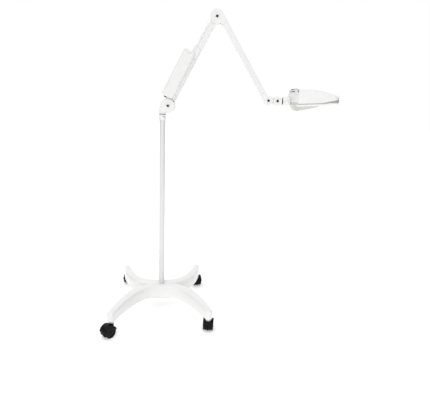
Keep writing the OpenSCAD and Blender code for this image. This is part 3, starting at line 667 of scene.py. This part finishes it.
def caster_hood(key):
    f = caster_frame(key)
    axle = (TRAIL, WHEEL_R)
    half = WEB / 2 + WHEEL_W + 1
    r_out, r_in = WHEEL_R + 3.4, WHEEL_R + 1.2
    # the fender is an arc over both wheels
    shell = arc(axle, r_out, 9, 171, 40) + arc(axle, r_in, 9, 171, 40)[::-1]
    fender = slab("hood_" + key, shell, -half, half, f)
    soften(fender, 0.9, 2)
    web = slab("web", circle_pts(axle, r_out - 0.2, 72), -WEB / 2, WEB / 2, f)
    low = slab("low", [(-60, -60), (90, -60), (90, 5), (-60, 5)], -40, 40, f)
    cut(web, low)
    soften(web, 0.7, 2)
    boss = rounded_profile([(0, 30), (9.5, 30), (9.5, 55.5), (0, 55.5)], [0, 1, 1.4, 0])
    ribs = []
    for s in (-1, 1):
        ribs.append(slab("rib", [(-6, 34), (TRAIL - 4, 50.6), (TRAIL - 4, 52), (-6, 52)],
                         s * 8 - 1.2, s * 8 + 1.2, f))
    join(fender, web, lathe("boss", boss, f, 40), *ribs)
    cut(fender, lathe("bore", [(0, 49.3), (5.56, 49.3), (5.56, 70), (0, 70)], f, 32))
    for lo, hi in ((-half - 1, -WEB / 2), (WEB / 2, half + 1)):
        cut(fender, lathe("room", [(0, lo), (r_in, lo), (r_in, hi), (0, hi)],
                          f @ axis_matrix((TRAIL, 0, WHEEL_R), (0, 1, 0)), 72))
    done(fender, "caster_" + key, "black_plastic", MAT["nylon"], "caster_hood_" + key)


def caster_wheel(key, name, side):
    """One of a caster's two wheels: a worn tread band round a hub with spokes and a raised cap."""
    f = caster_frame(key) @ axis_matrix((TRAIL, side * (WEB / 2 + 0.4), WHEEL_R), (0, side, 0))
    w = WHEEL_W - 0.4
    tread = rounded_profile([(19.5, 0), (WHEEL_R, 0), (WHEEL_R, w), (19.5, w)], [0.3, 3.4, 3.4, 0.6], 5)
    tread.append(tread[0])
    body = "wheel_%s_%s" % (key, name)
    band = lathe("tread_%s_%s" % (key, name), tread, f, 72)
    hub = [(3.06, 0.6), (19.4, 0.6), (19.4, w - 1.2), (18.2, w - 0.9), (17.2, w - 2.6), (7.4, w - 3.4),
           (6.6, w - 0.6), (5.2, w - 0.2), (3.06, w - 0.2), (3.06, 0.6)]
    disc = lathe(body, hub, f, 72)
    for k in range(6):
        a = math.radians(60 * k + 15)
        spot = axis_matrix((12.6 * math.cos(a), 12.6 * math.sin(a), 0), (0, 0, 1))
        cut(disc, lathe("hole", [(0, w - 5), (2.7, w - 5), (3.1, w + 1), (0, w + 1)], f @ spot, 20))
    done(band, body, "tyre_plastic", MAT["tread"])
    done(disc, body, "tyre_plastic", MAT["hub"], "caster_" + body)


for key in TIPS:
    caster_hood(key)
    caster_wheel(key, "a", -1)
    caster_wheel(key, "b", 1)
    f = caster_frame(key)
    stem = lathe("stem_" + key, [(0, 49.6), (5, 49.6), (5.5, 50.1), (5.5, 55.7), (8.2, 55.7), (8.5, 56),
                                 (8.5, 57.9), (8.2, 58.2), (5.5, 58.2), (5.5, 81.2), (4.8, 81.9), (0, 81.9)],
                 f, 32)
    done(stem, "caster_" + key, "steel", MAT["zinc"], "caster_stem_" + key)


# ---- arm fittings ----

BORE_R, SEAT_R = 5.06, 6.6
TONGUE_Y = 9
PLUG_Y = 7.8
# inner and outer faces of a fork's cheeks, from the middle
WIDE, SLIM = (9.4, 15), (8.4, 13)
SADDLE_SCREWS, SADDLE_SCREW_Z = (52, 215), 9

def pivot_screw(name, at, out, body, node):
    """Pivot screw: a bright rim round a dark hex socket in front, and a domed nut behind."""
    r_head, low = 6.5, out - 2.3
    front = axis_matrix((at[0], 0, at[1]), (0, -1, 0))
    rim = lathe("rim", [(4.5, low), (r_head, low), (r_head, out + 1.0), (r_head - 0.25, out + 1.4),
                        (r_head - 0.7, out + 1.6), (4.9, out + 1.6), (4.5, out + 1.2), (4.5, low)], front, 48)
    core = lathe("core", [(0, low), (4.5, low), (4.5, out + 0.3), (4.2, out + 0.6), (0, out + 0.6)], front, 48)
    cut(core, slab("socket", circle_pts(at, 3.5, 6), -out - 2, -out + 1.8))
    back = axis_matrix((at[0], 0, at[1]), (0, 1, 0))
    nut = lathe("nut", [(0, low), (r_head, low), (r_head, out + 0.5), (r_head - 0.5, out + 0.9),
                        (4.6, out + 1.0), (4.0, out + 1.4), (2.2, out + 1.6), (0, out + 1.6)], back, 48)
    shank = pin("shank", at, 5, -out + 2, out - 2)
    for o in (rim, nut, shank):
        o.data.materials.append(MAT["bolt"])
    core.data.materials.append(MAT["socket"])
    done(merge(name, [rim, core, nut, shank]), body, "steel", None, node)


def recess_ring(at, r_in, r_out, y, side, frame_matrix=None):
    """Raised ring round a pivot hole on an ear's outer face."""
    o = lathe("ring", [(r_in, 0), (r_in + 0.3, 0.55), (r_out - 0.3, 0.55), (r_out, 0), (r_in, 0)],
              axis_matrix((at[0], side * y, at[1]), (0, side, 0)), 56)
    return put(o, frame_matrix) if frame_matrix else o


def ear(name, pts, lo, hi, hole, r_hole, frame_matrix, edge):
    """One cheek of a fork, or a tongue, with its screw hole and rounded edges."""
    o = slab(name, pts, lo, hi)
    soften(o, edge, 3)
    cut(o, pin("hole", hole, r_hole, lo - 1, hi + 1, None, 40))
    return put(o, frame_matrix) if frame_matrix else o


def fork(name, body, node, outer, web, faces, hole, frame_matrix, extra, edge=1.3):
    """Two cheeks on a web, as one painted casting."""
    inner, outer_y = faces
    parts = []
    for s in (-1, 1):
        lo, hi = sorted((s * inner, s * outer_y))
        parts.append(ear(name, outer, lo, hi, hole, SEAT_R, frame_matrix, edge))
    mid = slab("web", web, -inner - 0.6, inner + 0.6)
    soften(mid, 0.5, 2)
    parts.append(put(mid, frame_matrix) if frame_matrix else mid)
    for s in (-1, 1):
        parts.append(recess_ring(hole, 6.9, 10.5, outer_y - 0.15, s, frame_matrix))
    parts += extra
    done(merge(name, parts), body, "white_cast", MAT["cast"], node)


def box_section(name, lo, hi, half_y, z0, z1, r, wall, frame_matrix, open_under=False):
    """Rectangular tube or channel with rounded corners, along X."""
    if open_under:
        outer = outline([(-half_y, z0), (-half_y, z1), (half_y, z1), (half_y, z0), (half_y - wall, z0),
                         (half_y - wall, z1 - wall), (-half_y + wall, z1 - wall), (-half_y + wall, z0)],
                        [0.4, r, r, 0.4, 0.4, r * 0.4, r * 0.4, 0.4], 5)
        o = extrude(name, outer, lo, hi, along)
        return put(o, frame_matrix)
    outer = outline([(-half_y, z0), (half_y, z0), (half_y, z1), (-half_y, z1)], r, 6)
    inner = outline([(-half_y + wall, z0 + wall), (half_y - wall, z0 + wall), (half_y - wall, z1 - wall),
                     (-half_y + wall, z1 - wall)], max(0.4, r - wall * 0.6), 6)
    bm = bmesh.new()
    loops = []
    for x, pts in ((lo, inner), (lo, outer), (hi, outer), (hi, inner)):
        loops.append([bm.verts.new((x * MM, p.x * MM, p.y * MM)) for p in pts])
    n = len(outer)
    for a, b in zip(loops, loops[1:] + loops[:1]):
        for k in range(n):
            j = (k + 1) % n
            bm.faces.new((a[k], a[j], b[j], b[k]))
    bmesh.ops.recalc_face_normals(bm, faces=bm.faces)
    return put(to_object(name, bm), frame_matrix)


def neck_piece(sections, frame_matrix):
    """Eases a fork onto its tube, through sections of (x, half width, low, high, corner)."""
    rings = [[(x, p.x, p.y) for p in outline([(-w, lo), (w, lo), (w, hi), (-w, hi)], r, 5)]
             for x, w, lo, hi, r in sections]
    return put(loft("ease", rings), frame_matrix)


# swivel bracket on top of the pole
sx, sz = SHOULDER
low = POLE_TOP + 0.3
back_edge = [Vector(p) for p in ((-14.4, low + 5), (-14.2, low + 14), (-13.4, low + 21), (-11.9, low + 28),
                                 (-9.4, low + 35), (-6.2, low + 42))]
bracket = back_edge + arc(SHOULDER, 29, 157, -65.6, 52) + [Vector((12, low + 5))]
bracket_web = back_edge + [Vector((sx - 24, sz + 15))]
bracket_web += arc(SHOULDER, 25.2, 150, 272, 26) + [Vector((sx + 11.5, sz - 26.2)), Vector((12, low + 5))]
collar_line = [(0, low), (15, low), (15, low + 14), (0, low + 14)]
collar = lathe("collar", rounded_profile(collar_line, [0, 1.5, 2.2, 0], 5))
cut(collar, lathe("groove", [(14.3, low + 5), (20, low + 5), (20, low + 6.2), (14.3, low + 6.2),
                             (14.3, low + 5)]))
spigot_line = [(0, low - 60), (9.4, low - 60), (10.4, low - 59), (10.4, low + 2), (0, low + 2)]
spigot = lathe("spigot", spigot_line, steps=48)
fork("swivel", "swivel", "swivel_bracket", bracket, bracket_web, WIDE, SHOULDER, None, (collar, spigot))
pivot_screw("screw_shoulder", SHOULDER, WIDE[1], "swivel", "shoulder_bolt")

# lower arm
root = arc((0, 0), 22, 104, 265, 36) + [Vector((30, -17)), Vector((30, 22)), Vector((8, 20.8))]
tongue = ear("tongue", root, -TONGUE_Y, TONGUE_Y, (0, 0), BORE_R, F_LOWER, 1.0)
plug = slab("plug", outline([(21, 0.9), (35.8, 0.9), (35.8, 21.3), (21, 21.3)], 1.5), -9, 9)
soften(plug, 0.8, 2)
put(plug, F_LTUBE)
inner_plug = slab("inner_plug", [(30, 2.2), (68, 2.2), (68, 19.8), (30, 19.8)], -PLUG_Y, PLUG_Y, F_LTUBE)
done(merge("arm_root", [tongue, plug, inner_plug]), "lower_arm", "white_cast", MAT["cast"], "lower_end")
lower_section = box_section("lower_section", 36, 372, TUBE_W / 2, 0, TUBE_H, 2.4, 2, F_LTUBE)
done(lower_section, "lower_arm", "tube_finish", MAT["tube"], "lower_tube")
cover = box_section("cover_strip", 36, 368, 9, 22.1, 29.6, 2.6, 2, F_LTUBE, open_under=True)
done(cover, "lower_arm", "white_plastic", MAT["cover"], "cable_cover")
end = arc((LOWER_LEN, 0), 22, -90, 90, 36) + [Vector((368.6, 12.6)), Vector((368.6, -8.4))]
elbow_tongue = ear("elbow_tongue", end, -TONGUE_Y, TONGUE_Y, (LOWER_LEN, 0), BORE_R, F_LOWER, 1.0)
end_plug = slab("end_plug", [(340, 2.2), (376, 2.2), (376, 19.8), (340, 19.8)], -PLUG_Y, PLUG_Y, F_LTUBE)
done(merge("arm_tip", [elbow_tongue, end_plug]), "lower_arm", "white_cast", MAT["cast"], "upper_end")

# saddle and ballast box
channel = box_section("saddle_channel", 36, 263, 12.8, 4.5, 32.3, 2.2, 2.4, F_LTUBE, open_under=True)
done(channel, "lower_arm", "white_cast", MAT["cast"], "saddle")


def ballast_part(name, x0, x1, groove_at_start):
    """Slice of the box between two lengths: rounded along and across, closed at both ends."""
    start, end, half_y, z0, z1 = 31, 240, 26, 14, 64
    r_end, r_side = 12, 8
    steps = [0, 0.15, 0.5, 1.1, 2, 3.2, 4.8, 6.6, 9, 12]
    xs = {start + d for d in steps} | {end - d for d in steps}
    xs = [x0] + sorted(x for x in xs if x0 < x < x1) + [x1]
    rings = []
    for x in xs:
        d = min(x - start, end - x)
        inset = r_end - math.sqrt(max(0, r_end ** 2 - (r_end - min(d, r_end)) ** 2))
        side = 3 - math.sqrt(max(0, 9 - (3 - min(d, 3)) ** 2))
        if abs(x - x0) < 1e-6 and groove_at_start or abs(x - x1) < 1e-6 and not groove_at_start:
            inset += 0.5
            side += 0.5
        w = half_y - side
        lo, hi = z0 + inset, z1 - inset
        r = max(2.0, min(r_side, (hi - lo) / 2 - 1, w - 1))
        rings.append([(x, p.x, p.y) for p in outline([(-w, lo), (w, lo), (w, hi), (-w, hi)], r, 7)])
    o = loft(name, rings)
    channel = extrude("channel", [(-13.1, 0), (13.1, 0), (13.1, 32.6), (-13.1, 32.6)], x0 - 5, x1 + 5,
                      along)
    cut(o, channel)
    return o


case = ballast_part("ballast_box", 31, 230.6, False)
hole = lathe("hole", [(0, 0), (4.7, 0), (4.7, 12), (0, 12)], axis_matrix((30, 0, 46), (1, 0, 0)), 32)
cut(case, hole)
for x in SADDLE_SCREWS:
    for s in (-1, 1):
        cut(case, lathe("well", [(0, 0), (4.6, 0), (4.6, 8), (0, 8)],
                        axis_matrix((x, s * 13, SADDLE_SCREW_Z), (0, s, 0)), 32))
done(put(case, F_LTUBE), "lower_arm", "white_plastic", MAT["case"], "ballast_case")
lid_cap = put(ballast_part("ballast_end", 231.2, 240, True), F_LTUBE)
done(lid_cap, "lower_arm", "white_plastic", MAT["cap"], "ballast_cap")

gland = [(2.8, -6.0), (5.2, -6.0), (6, -5.6), (6.3, -5), (6.3, -3.6), (5.7, -3.3), (5.7, -2.6), (6.3, -2.3),
         (6.3, -0.2), (4.6, -0.1), (4.6, 6), (2.8, 6), (2.8, -6.0)]
gland_o = lathe("gland", gland, axis_matrix((31, 0, 46), (1, 0, 0)), 48)
done(put(gland_o, F_LTUBE), "lower_arm", "gland_rubber", MAT["rubber"], "cable_gland")

buttons = []
button = [(0, 12.9), (3.4, 12.9), (3.4, 13.5), (3.0, 14.1), (2.2, 14.45), (1.7, 14.5), (1.7, 13.2), (0, 13.1)]
for x in SADDLE_SCREWS:
    for s in (-1, 1):
        b = lathe("button", button, axis_matrix((x, 0, SADDLE_SCREW_Z), (0, s, 0)), 28)
        buttons.append(put(b, F_LTUBE))
    buttons.append(pin("shank", (x, SADDLE_SCREW_Z), 2, -13, 13, F_LTUBE, 20))
done(merge("saddle_buttons", buttons), "lower_arm", "white_cast", MAT["cast"], "saddle_screws")

# forearm
elbow_out = arc((0, 0), 27.45, 88, 353, 64)
elbow_out += [Vector(p) for p in ((31.5, -0.4), (36, 1.0), (41, 1.7), (41, 24.5))]
elbow_web = [Vector((41, 24.4)), Vector((11, 26.4))] + arc((0, 0), 24.7, 62, 12, 14)
elbow_web += [Vector((34.3, 2.3)), Vector((41, 2.3))]
inner = slab("inner", [(42, -8.8), (76, -8.8), (76, 8.8), (42, 8.8)], -PLUG_Y, PLUG_Y, F_FTUBE)
ease = neck_piece([(40.9, 15, 1.7, 24.5, 1.2), (44, 14.8, 1.8, 24.2, 1.3), (48, 13.9, 1.65, 23.9, 1.6),
                   (52, 12.7, 1.4, 23.65, 1.9), (56, 11.6, 1.2, 23.4, 2.2), (60, 10.8, 0.95, 23.2, 2.4),
                   (65, 10.3, 0.65, 22.9, 2.5), (70, 10.05, 0.5, 22.6, 2.5)], F_FORE)
fork("elbow", "forearm", "elbow_fork", elbow_out, elbow_web, WIDE, (0, 0), F_FORE, (inner, ease))
fore_section = box_section("fore_section", 44.1, 350.9, TUBE_W / 2, -TUBE_H / 2, TUBE_H / 2, 2.4, 2, F_FTUBE)
done(fore_section, "forearm", "tube_finish", MAT["tube"], "fore_tube")
wr = (FORE_LEN, 0)
wrist_out = [Vector((352, 7.9))] + arc(wr, 19, 152, -106, 48) + [Vector((372, -16.4)), Vector((352, -14.3))]
wrist_web = [Vector((352, 7.9)), Vector((373.5, 8.7))] + arc(wr, 17.8, 150, 258, 22)
wrist_web += [Vector((386, -18)), Vector((372, -16.3)), Vector((352, -14.3))]
inner = slab("inner", [(319, -8.8), (353, -8.8), (353, 8.8), (319, 8.8)], -PLUG_Y, PLUG_Y, F_FTUBE)
ease = neck_piece([(322, 10.05, -12.8, 9.4, 2.5), (327, 10.3, -13.1, 9.25, 2.5),
                   (332, 10.8, -13.4, 9.1, 2.4), (337, 11.5, -13.7, 8.85, 2.1), (342, 12.3, -14.0, 8.5, 1.7),
                   (347, 12.9, -14.2, 8.15, 1.3), (352.1, 13, -14.3, 7.9, 1.1)], F_FORE)
fork("wrist", "forearm", "wrist_fork", wrist_out, wrist_web, SLIM, wr, F_FORE, (inner, ease), 1.1)
pivot_screw("screw_elbow", ELBOW, WIDE[1], "forearm", "elbow_bolt")
pivot_screw("screw_wrist", WRIST, SLIM[1], "forearm", "wrist_bolt")

# link and knuckle
plate = arc(WRIST, 17, 56, 304, 40) + arc(TILT, 14, -59, 59, 28)
bar = slab("link_bar", plate, -8, 8)
soften(bar, 1.0, 3)
cut(bar, *[pin("hole", at, BORE_R, -TONGUE_Y, TONGUE_Y, None, 40) for at in (WRIST, TILT)])
done(bar, "link", "white_cast", MAT["cast"], "wrist_link")

face = TILT[0] + 19
knuckle_out = arc(TILT, 18, 51, 309, 44) + [Vector((face, TILT[1] - 14)), Vector((face, TILT[1] + 14))]
knuckle_web = [Vector((face, TILT[1] + 14)), Vector((TILT[0] + 5.5, TILT[1] + 13.8))]
knuckle_web += arc(TILT, 14.7, 68, -68, 22)
knuckle_web += [Vector((TILT[0] + 5.5, TILT[1] - 13.8)), Vector((face, TILT[1] - 14))]
spindle = lathe("spindle", [(0, 0), (8, 0), (8, 26), (7.2, 27), (0, 27)],
                axis_matrix((face - 1, 0, HEAD[1]), (1, 0, 0)), 40)
fork("knuckle", "knuckle", "tilt_knuckle", knuckle_out, knuckle_web, SLIM, TILT, None, (spindle,), 1.1)
pivot_screw("screw_tilt", TILT, SLIM[1], "knuckle", "tilt_bolt")

# ---- head ----

NECK_FACE = TILT[0] + 23
ROLL_R = 8.06
neck_len = HEAD[0] - NECK_FACE - 0.1
neck_profile = [(ROLL_R, 0), (16.8, 0), (18.3, 0.5), (19, 1.8), (19, 6.2), (18.2, 6.8), (18.2, 8.2), (19, 8.8),
                (19, neck_len - 2), (18.6, neck_len - 0.6), (17.6, neck_len), (ROLL_R, neck_len), (ROLL_R, 0)]
neck = lathe("neck", neck_profile, axis_matrix((NECK_FACE, 0, HEAD[1]), (1, 0, 0)), 64)
done(neck, "head", "white_plastic", MAT["shell"], "head_neck")
washer_profile = [(ROLL_R, 0.15), (12.3, 0.15), (12.7, 0.6), (12.7, 3.4), (12.3, 3.9), (ROLL_R, 3.9),
                  (ROLL_R, 0.15)]
washer = lathe("roll_washer", washer_profile, axis_matrix((face, 0, HEAD[1]), (1, 0, 0)), 48)
done(washer, "head", "black_plastic", MAT["socket"])

HEAD_LEN, HEAD_HALF, PLAN_R, SHELL = 188, 92, 30, 2.6


def lerp(table, x):
    """Straight-line value between given points."""
    for (xa, ya), (xb, yb) in zip(table, table[1:]):
        if x <= xb:
            return ya + (yb - ya) * (x - xa) / (xb - xa)
    return table[-1][1]


def smooth(table, x):
    """Value between given points with rounded changes of slope."""
    return sum(lerp(table, min(max(x + d, table[0][0]), table[-1][0])) for d in (-6, -3, 0, 3, 6)) / 5


def half_width(x, inset=0.0):
    """Half of the head's width at length x in plan."""
    r = PLAN_R - inset
    d = min(max(x - (HEAD_LEN - PLAN_R), PLAN_R - x, 0), r)
    return HEAD_HALF - inset - r + math.sqrt(r * r - d * d)


def head_stations(x0, inset=0.0, count=30):
    last = HEAD_LEN - inset
    turn = last - (PLAN_R - inset)
    xs = [x0 + (turn - x0) * k / count for k in range(count + 1)]
    angles = (*range(8, 81, 8), 86, 90)
    return xs + [turn + (last - turn) * math.sin(math.radians(a)) for a in angles]


SEAM = [(0, -6.9), (18, -6.9), (114, -0.3), (188, 17.7)]
TOP = [(18, 49.5), (26, 51.4), (38, 52.3), (78, 52.5), (96, 50.6), (114, 47.6), (153, 38.4), (179.5, 30.6),
       (185.5, 28), (188, 23.3)]
UNDER = [(6, -19), (55, -14), (116, -10), (188, -1.5)]


def band_height(x):
    """Height of the band of painted shadow under the lid, which widens toward the tip."""
    return lerp([(14, 2.6), (110, 3.0), (150, 6), (188, 14)], x)


def band_section(x):
    """Cross-section of the painted-shadow band between the lid and the frame."""
    h, top = half_width(x, 0.1), lerp(SEAM, x)
    low = top - band_height(x)
    return [(x, -h, low), (x, h, low), (x, h, top), (x, -h, top)]


def under_section(x, inset, lift=None):
    """Cross-section of the frame: an upright strip, then sides that lean in to a flat underside."""
    h = half_width(x, inset)
    top = lerp(SEAM, x) + (-band_height(x) if lift is None else lift)
    bottom = lerp(UNDER, x) + inset
    depth = top - bottom
    upright = lerp([(6, 0.96), (18, 0.94), (55, 0.6), (100, 0.22), (188, 0.12)], x)
    lean = lerp([(6, 0.5), (55, 4), (105, 9), (155, 13), (188, 10)], x)
    knee = top - depth * upright
    pts = [(-h, top), (-h, knee), (-h + lean, bottom), (h - lean, bottom), (h, knee), (h, top)]
    return [(x, p.x, p.y) for p in outline(pts, [0.05, 1.6, 2.2, 2.2, 1.6, 0.05], 4)]


def tray_room():
    return loft("inside", [under_section(x, SHELL, 12) for x in head_stations(17.8, SHELL)])


def block_slice(name, profile):
    """Length of the rear block across the head, with its plan corners rounded."""
    rings = []
    for side in (-1, 1):
        angles = (0, 8, 16, 24, 31, 38, 44, 50, 55, 60, 64.5)
        for a in (angles[::-1] if side < 0 else angles):
            y = side * (HEAD_HALF - PLAN_R + PLAN_R * math.sin(math.radians(a)))
            pull = PLAN_R * (1 - math.cos(math.radians(a)))
            ring = [(min(u + pull, 17.5) if u < 17 else u, v) for u, v in profile]
            rings.append([(p[0], y, p[1]) for p in ring])
    return loft(name, rings)


tray = loft("head_tray", [under_section(x, 0) for x in head_stations(14)])
cut(tray, tray_room())
join(tray, block_slice("block", [(0.3, -1.6), (0.3, 14), (1.2, 21), (2.9, 28), (5, 34), (7.6, 40), (10, 44.6),
                                 (12.4, 47), (15.6, 48.6), (17.8, 48.8), (17.8, -1.6)]))
HINGE = hx, hz = 12, 45
PIN_BORE = 2.56
cut(tray, slab("pocket", circle_pts(HINGE, 8, 40), -95, 95))
cut(tray, slab("open_top", [(hx, hz - 4), (hx + 40, hz - 4), (hx + 40, hz + 40), (hx, hz + 40)], -95, 95))
for s in (-1, 1):
    lug_line = [Vector((hx - 5.2, hz - 12)), Vector((hx + 5.2, hz - 12))] + arc(HINGE, 5.2, 0, 180, 20)
    lug = slab("lug", lug_line, s * 72 - 4, s * 72 + 4)
    soften(lug, 0.6, 2)
    cut(lug, pin("hole", HINGE, PIN_BORE, s * 72 - 6, s * 72 + 6, None, 24))
    join(tray, lug)
switch_room = [(-2, -10), (5, -10), (5, 12), (-2, 12)]
cut(tray, slab("switch_room", switch_room, 42, 58))
put(tray, F_HEAD)
# Grey band under the lid's edge is painted shadow: it stands for the shaded gap between lid and frame.
band = loft("head_painted_shadow_band", [band_section(x) for x in head_stations(17.8)])
cut(band, tray_room())
done(put(band, F_HEAD), "head", "gland_rubber", MAT["painted_shadow_band"])
# Lower rear sill in the darker housing grey, which partly holds painted shade on the rear face below the seam.
sill = block_slice("rear_sill", [(0.9, -12), (0.9, -2), (17.6, -2), (17.6, -18.6), (9, -18.6), (4.5, -16)])
cut(sill, slab("switch_room", switch_room, 42, 58))
done(put(sill, F_HEAD), "head", "white_plastic", MAT["shade"])
plate = loft("lens_plate", [[(x - LENS_X, s * half_width(x, 2.2), z)
                             for s, z in ((-1, -5.6), (1, -5.6), (1, -2.6), (-1, -2.6))]
                            for x in head_stations(16.5, 3.2)])
cut(plate, lathe("eye", [(0, -9), (56, -9), (58, -5), (57, -4.2), (57, 0), (0, 0)], steps=96))
for s in (-1, 1):
    lo, hi = s * 75.5 - 9, s * 75.5 + 9
    cut(plate, extrude("window", outline([(-52, lo), (56, lo), (56, hi), (-52, hi)], 1.5), -9, 3, upward))
put(plate, F_LENS)
done(merge("head_frame_body", [tray, plate]), "head", "white_plastic", MAT["shell"], "head_frame")


def wedge_section(x):
    """Cross-section of the lamp housing under the frame, with sides that lean in toward its lowest edge."""
    low = lerp([(8, -19.3), (23, -36), (91, -19), (107, -11.8)], x)
    high = lerp([(6, -18.0), (55, -13.6), (107, -10.2)], x)
    lean = 0.75 * (high - low)
    half = 84 - 0.02 * max(0, 58 - x) ** 2
    pts = [(-half, high), (-half + lean, low), (half - lean, low), (half, high)]
    r = min(4.0, 0.4 * (high - low))
    return [(x, p.x, p.y) for p in outline(pts, [0.02, r, r, 0.02], 4)]


# Lamp housing in the darker housing grey, which partly holds painted shade on its downward-facing sides.
wedge = loft("lamp_wedge", [wedge_section(x) for x in (8.3, 10, 12, 15, 18, 20.5, 22, 23, 24.5, 27, 35, 45, 55,
                                                       67, 79, 89, 93, 99, 105)])
vents = []
for k in range(9):
    for s in (-1, 1):
        lo, hi = s * (20 + 6 * k) - 1, s * (20 + 6 * k) + 1
        vents.append(extrude("vent", outline([(46, lo), (66, lo), (66, hi), (46, hi)], 0.95, 3), -60, -20, upward))
cut(wedge, merge("slots", vents))
done(put(wedge, F_HEAD), "head", "white_plastic", MAT["shade"], "lamp_housing")


def lid_section(x, inset):
    """Cross-section of the lid, open below, with a soft long edge at its top."""
    h = half_width(x, inset)
    bottom = lerp(SEAM, x) + 0.35
    if inset:
        bottom -= 20
    top = smooth(TOP, x) if 30 < x < 176 else lerp(TOP, x)
    top -= inset
    crown = min(1.2, 0.2 * (top - lerp(SEAM, x)))
    edge = min(9.0, 0.42 * (top - lerp(SEAM, x) - 0.35)) if not inset else 7.0
    shoulder = 0.9
    pts = [(-h, bottom), (-h + shoulder, top - crown), (0, top), (h - shoulder, top - crown), (h, bottom)]
    return [(x, p.x, p.y) for p in outline(pts, [0.05, edge, 60, edge, 0.05], 7)]


lid = loft("head_cover", [lid_section(x, 0) for x in head_stations(18)])
hollow = loft("hollow", [lid_section(x, SHELL) for x in head_stations(10, SHELL)])
cut(lid, hollow)
# finger groove round the tip
GROOVE_FROM, GROOVE_AT = 170, (158, 62)
rim = []
for r in (36, 28.6):
    bend = [p for p in arc(GROOVE_AT, r, 90, 0, 9) if p.x > GROOVE_FROM]
    rim.append(bend + [Vector((p.x, -p.y)) for p in bend[::-1]])
cut(lid, extrude("groove", rim[0] + rim[1][::-1], 20, 22.4, upward))
put(lid, F_HEAD)
knuckles = []
for s in (-1, 1):
    lo, hi = s * 55 - 12, s * 55 + 12
    barrel = slab("barrel", circle_pts(HINGE, 5.4, 36), lo, hi)
    soften(barrel, 0.6, 2)
    leaf = slab("leaf", [(hx, hz), (hx + 14, hz), (hx + 14, hz + 3.6), (hx, hz + 3.6)], lo, hi)
    for o in (barrel, leaf):
        cut(o, pin("hole", HINGE, PIN_BORE, lo - 1, hi + 1, None, 24))
    knuckles += [put(barrel, F_HEAD), put(leaf, F_HEAD)]
roll = slab("hinge_roll", arc(HINGE, 7.6, 38, 112, 14) + arc(HINGE, 6.5, 112, 38, 14), -79, 79)
knuckles.append(put(roll, F_HEAD))
done(merge("head_cover_shell", [lid] + knuckles), "lid", "white_plastic", MAT["shell"], "head_lid")

# lens and its ring
lens_r, cap_r = 59.7, (60 ** 2 + 5.5 ** 2) / 11
lift = cap_r - 7
radii = [lens_r * math.sin(math.radians(a)) for a in range(0, 91, 6)]
upper = [(r, math.sqrt(cap_r ** 2 - r * r) - lift) for r in radii]
lens_profile = [(r, -z) for r, z in upper] + [(r, z) for r, z in upper[::-1]]
lens = lathe("lens_disc", [(r, z - 0.4) for r, z in lens_profile], steps=96)
done(put(lens, F_LENS), "head", "clear_glass", MAT["glass"], "lens")
ring = lathe("lens_bezel", [(60.1, -2.4), (62.6, -2.4), (63.4, -1.6), (63.4, 2.7), (62.8, 3.4), (57.6, 3.4),
                            (57.1, 3.0), (57.1, 2.15), (60.1, 2.1), (60.1, -2.4)], steps=96)
done(put(ring, F_LENS), "head", "black_plastic", MAT["nylon"], "lens_ring")

# switch rocker
rocker = slab("rocker_key", [(-8.5, -9), (-7.9, -4.5), (-7.6, 0), (-7.9, 4.5), (-8.5, 9), (-4, 9.6), (0, 4),
                             (0, -4), (-4, -9.6)], 42.6, 57.4)
soften(rocker, 0.7, 3)
bar_mark = slab("bar_mark", [(-9.6, 4.2), (-7.95, 4.2), (-7.95, 7.4), (-9.6, 7.4)], 49.7, 50.3)
cut(rocker, bar_mark)
m = Matrix.Translation(((HEAD[0] + 8) * MM, 0, (HEAD[1] + 1) * MM))
m = m @ Matrix.Rotation(math.radians(-7), 4, "Y")
done(put(rocker, m), "rocker", "black_plastic", MAT["knob"], "power_rocker")

# carried-over CAD nodes keep their shapes and take finished materials
CARRIED = {
    "hub_core": "zinc", "hub_screws": "bolt", "caster_sockets": "zinc", "pole_set_screw": "knob",
    "ballast_core": "ballast", "hinge_pin": "cast", "reflectors": "mirror", "lamp_tubes": "tube_glass",
    "diffusers": "frosted",
}
for key in TIPS:
    CARRIED["caster_axle_" + key] = "hub"
for node, material in CARRIED.items():
    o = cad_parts[node]
    if not o.data.materials:
        o.data.materials.append(MAT[material])
    for i in range(len(o.data.materials)):
        o.data.materials[i] = MAT[material]
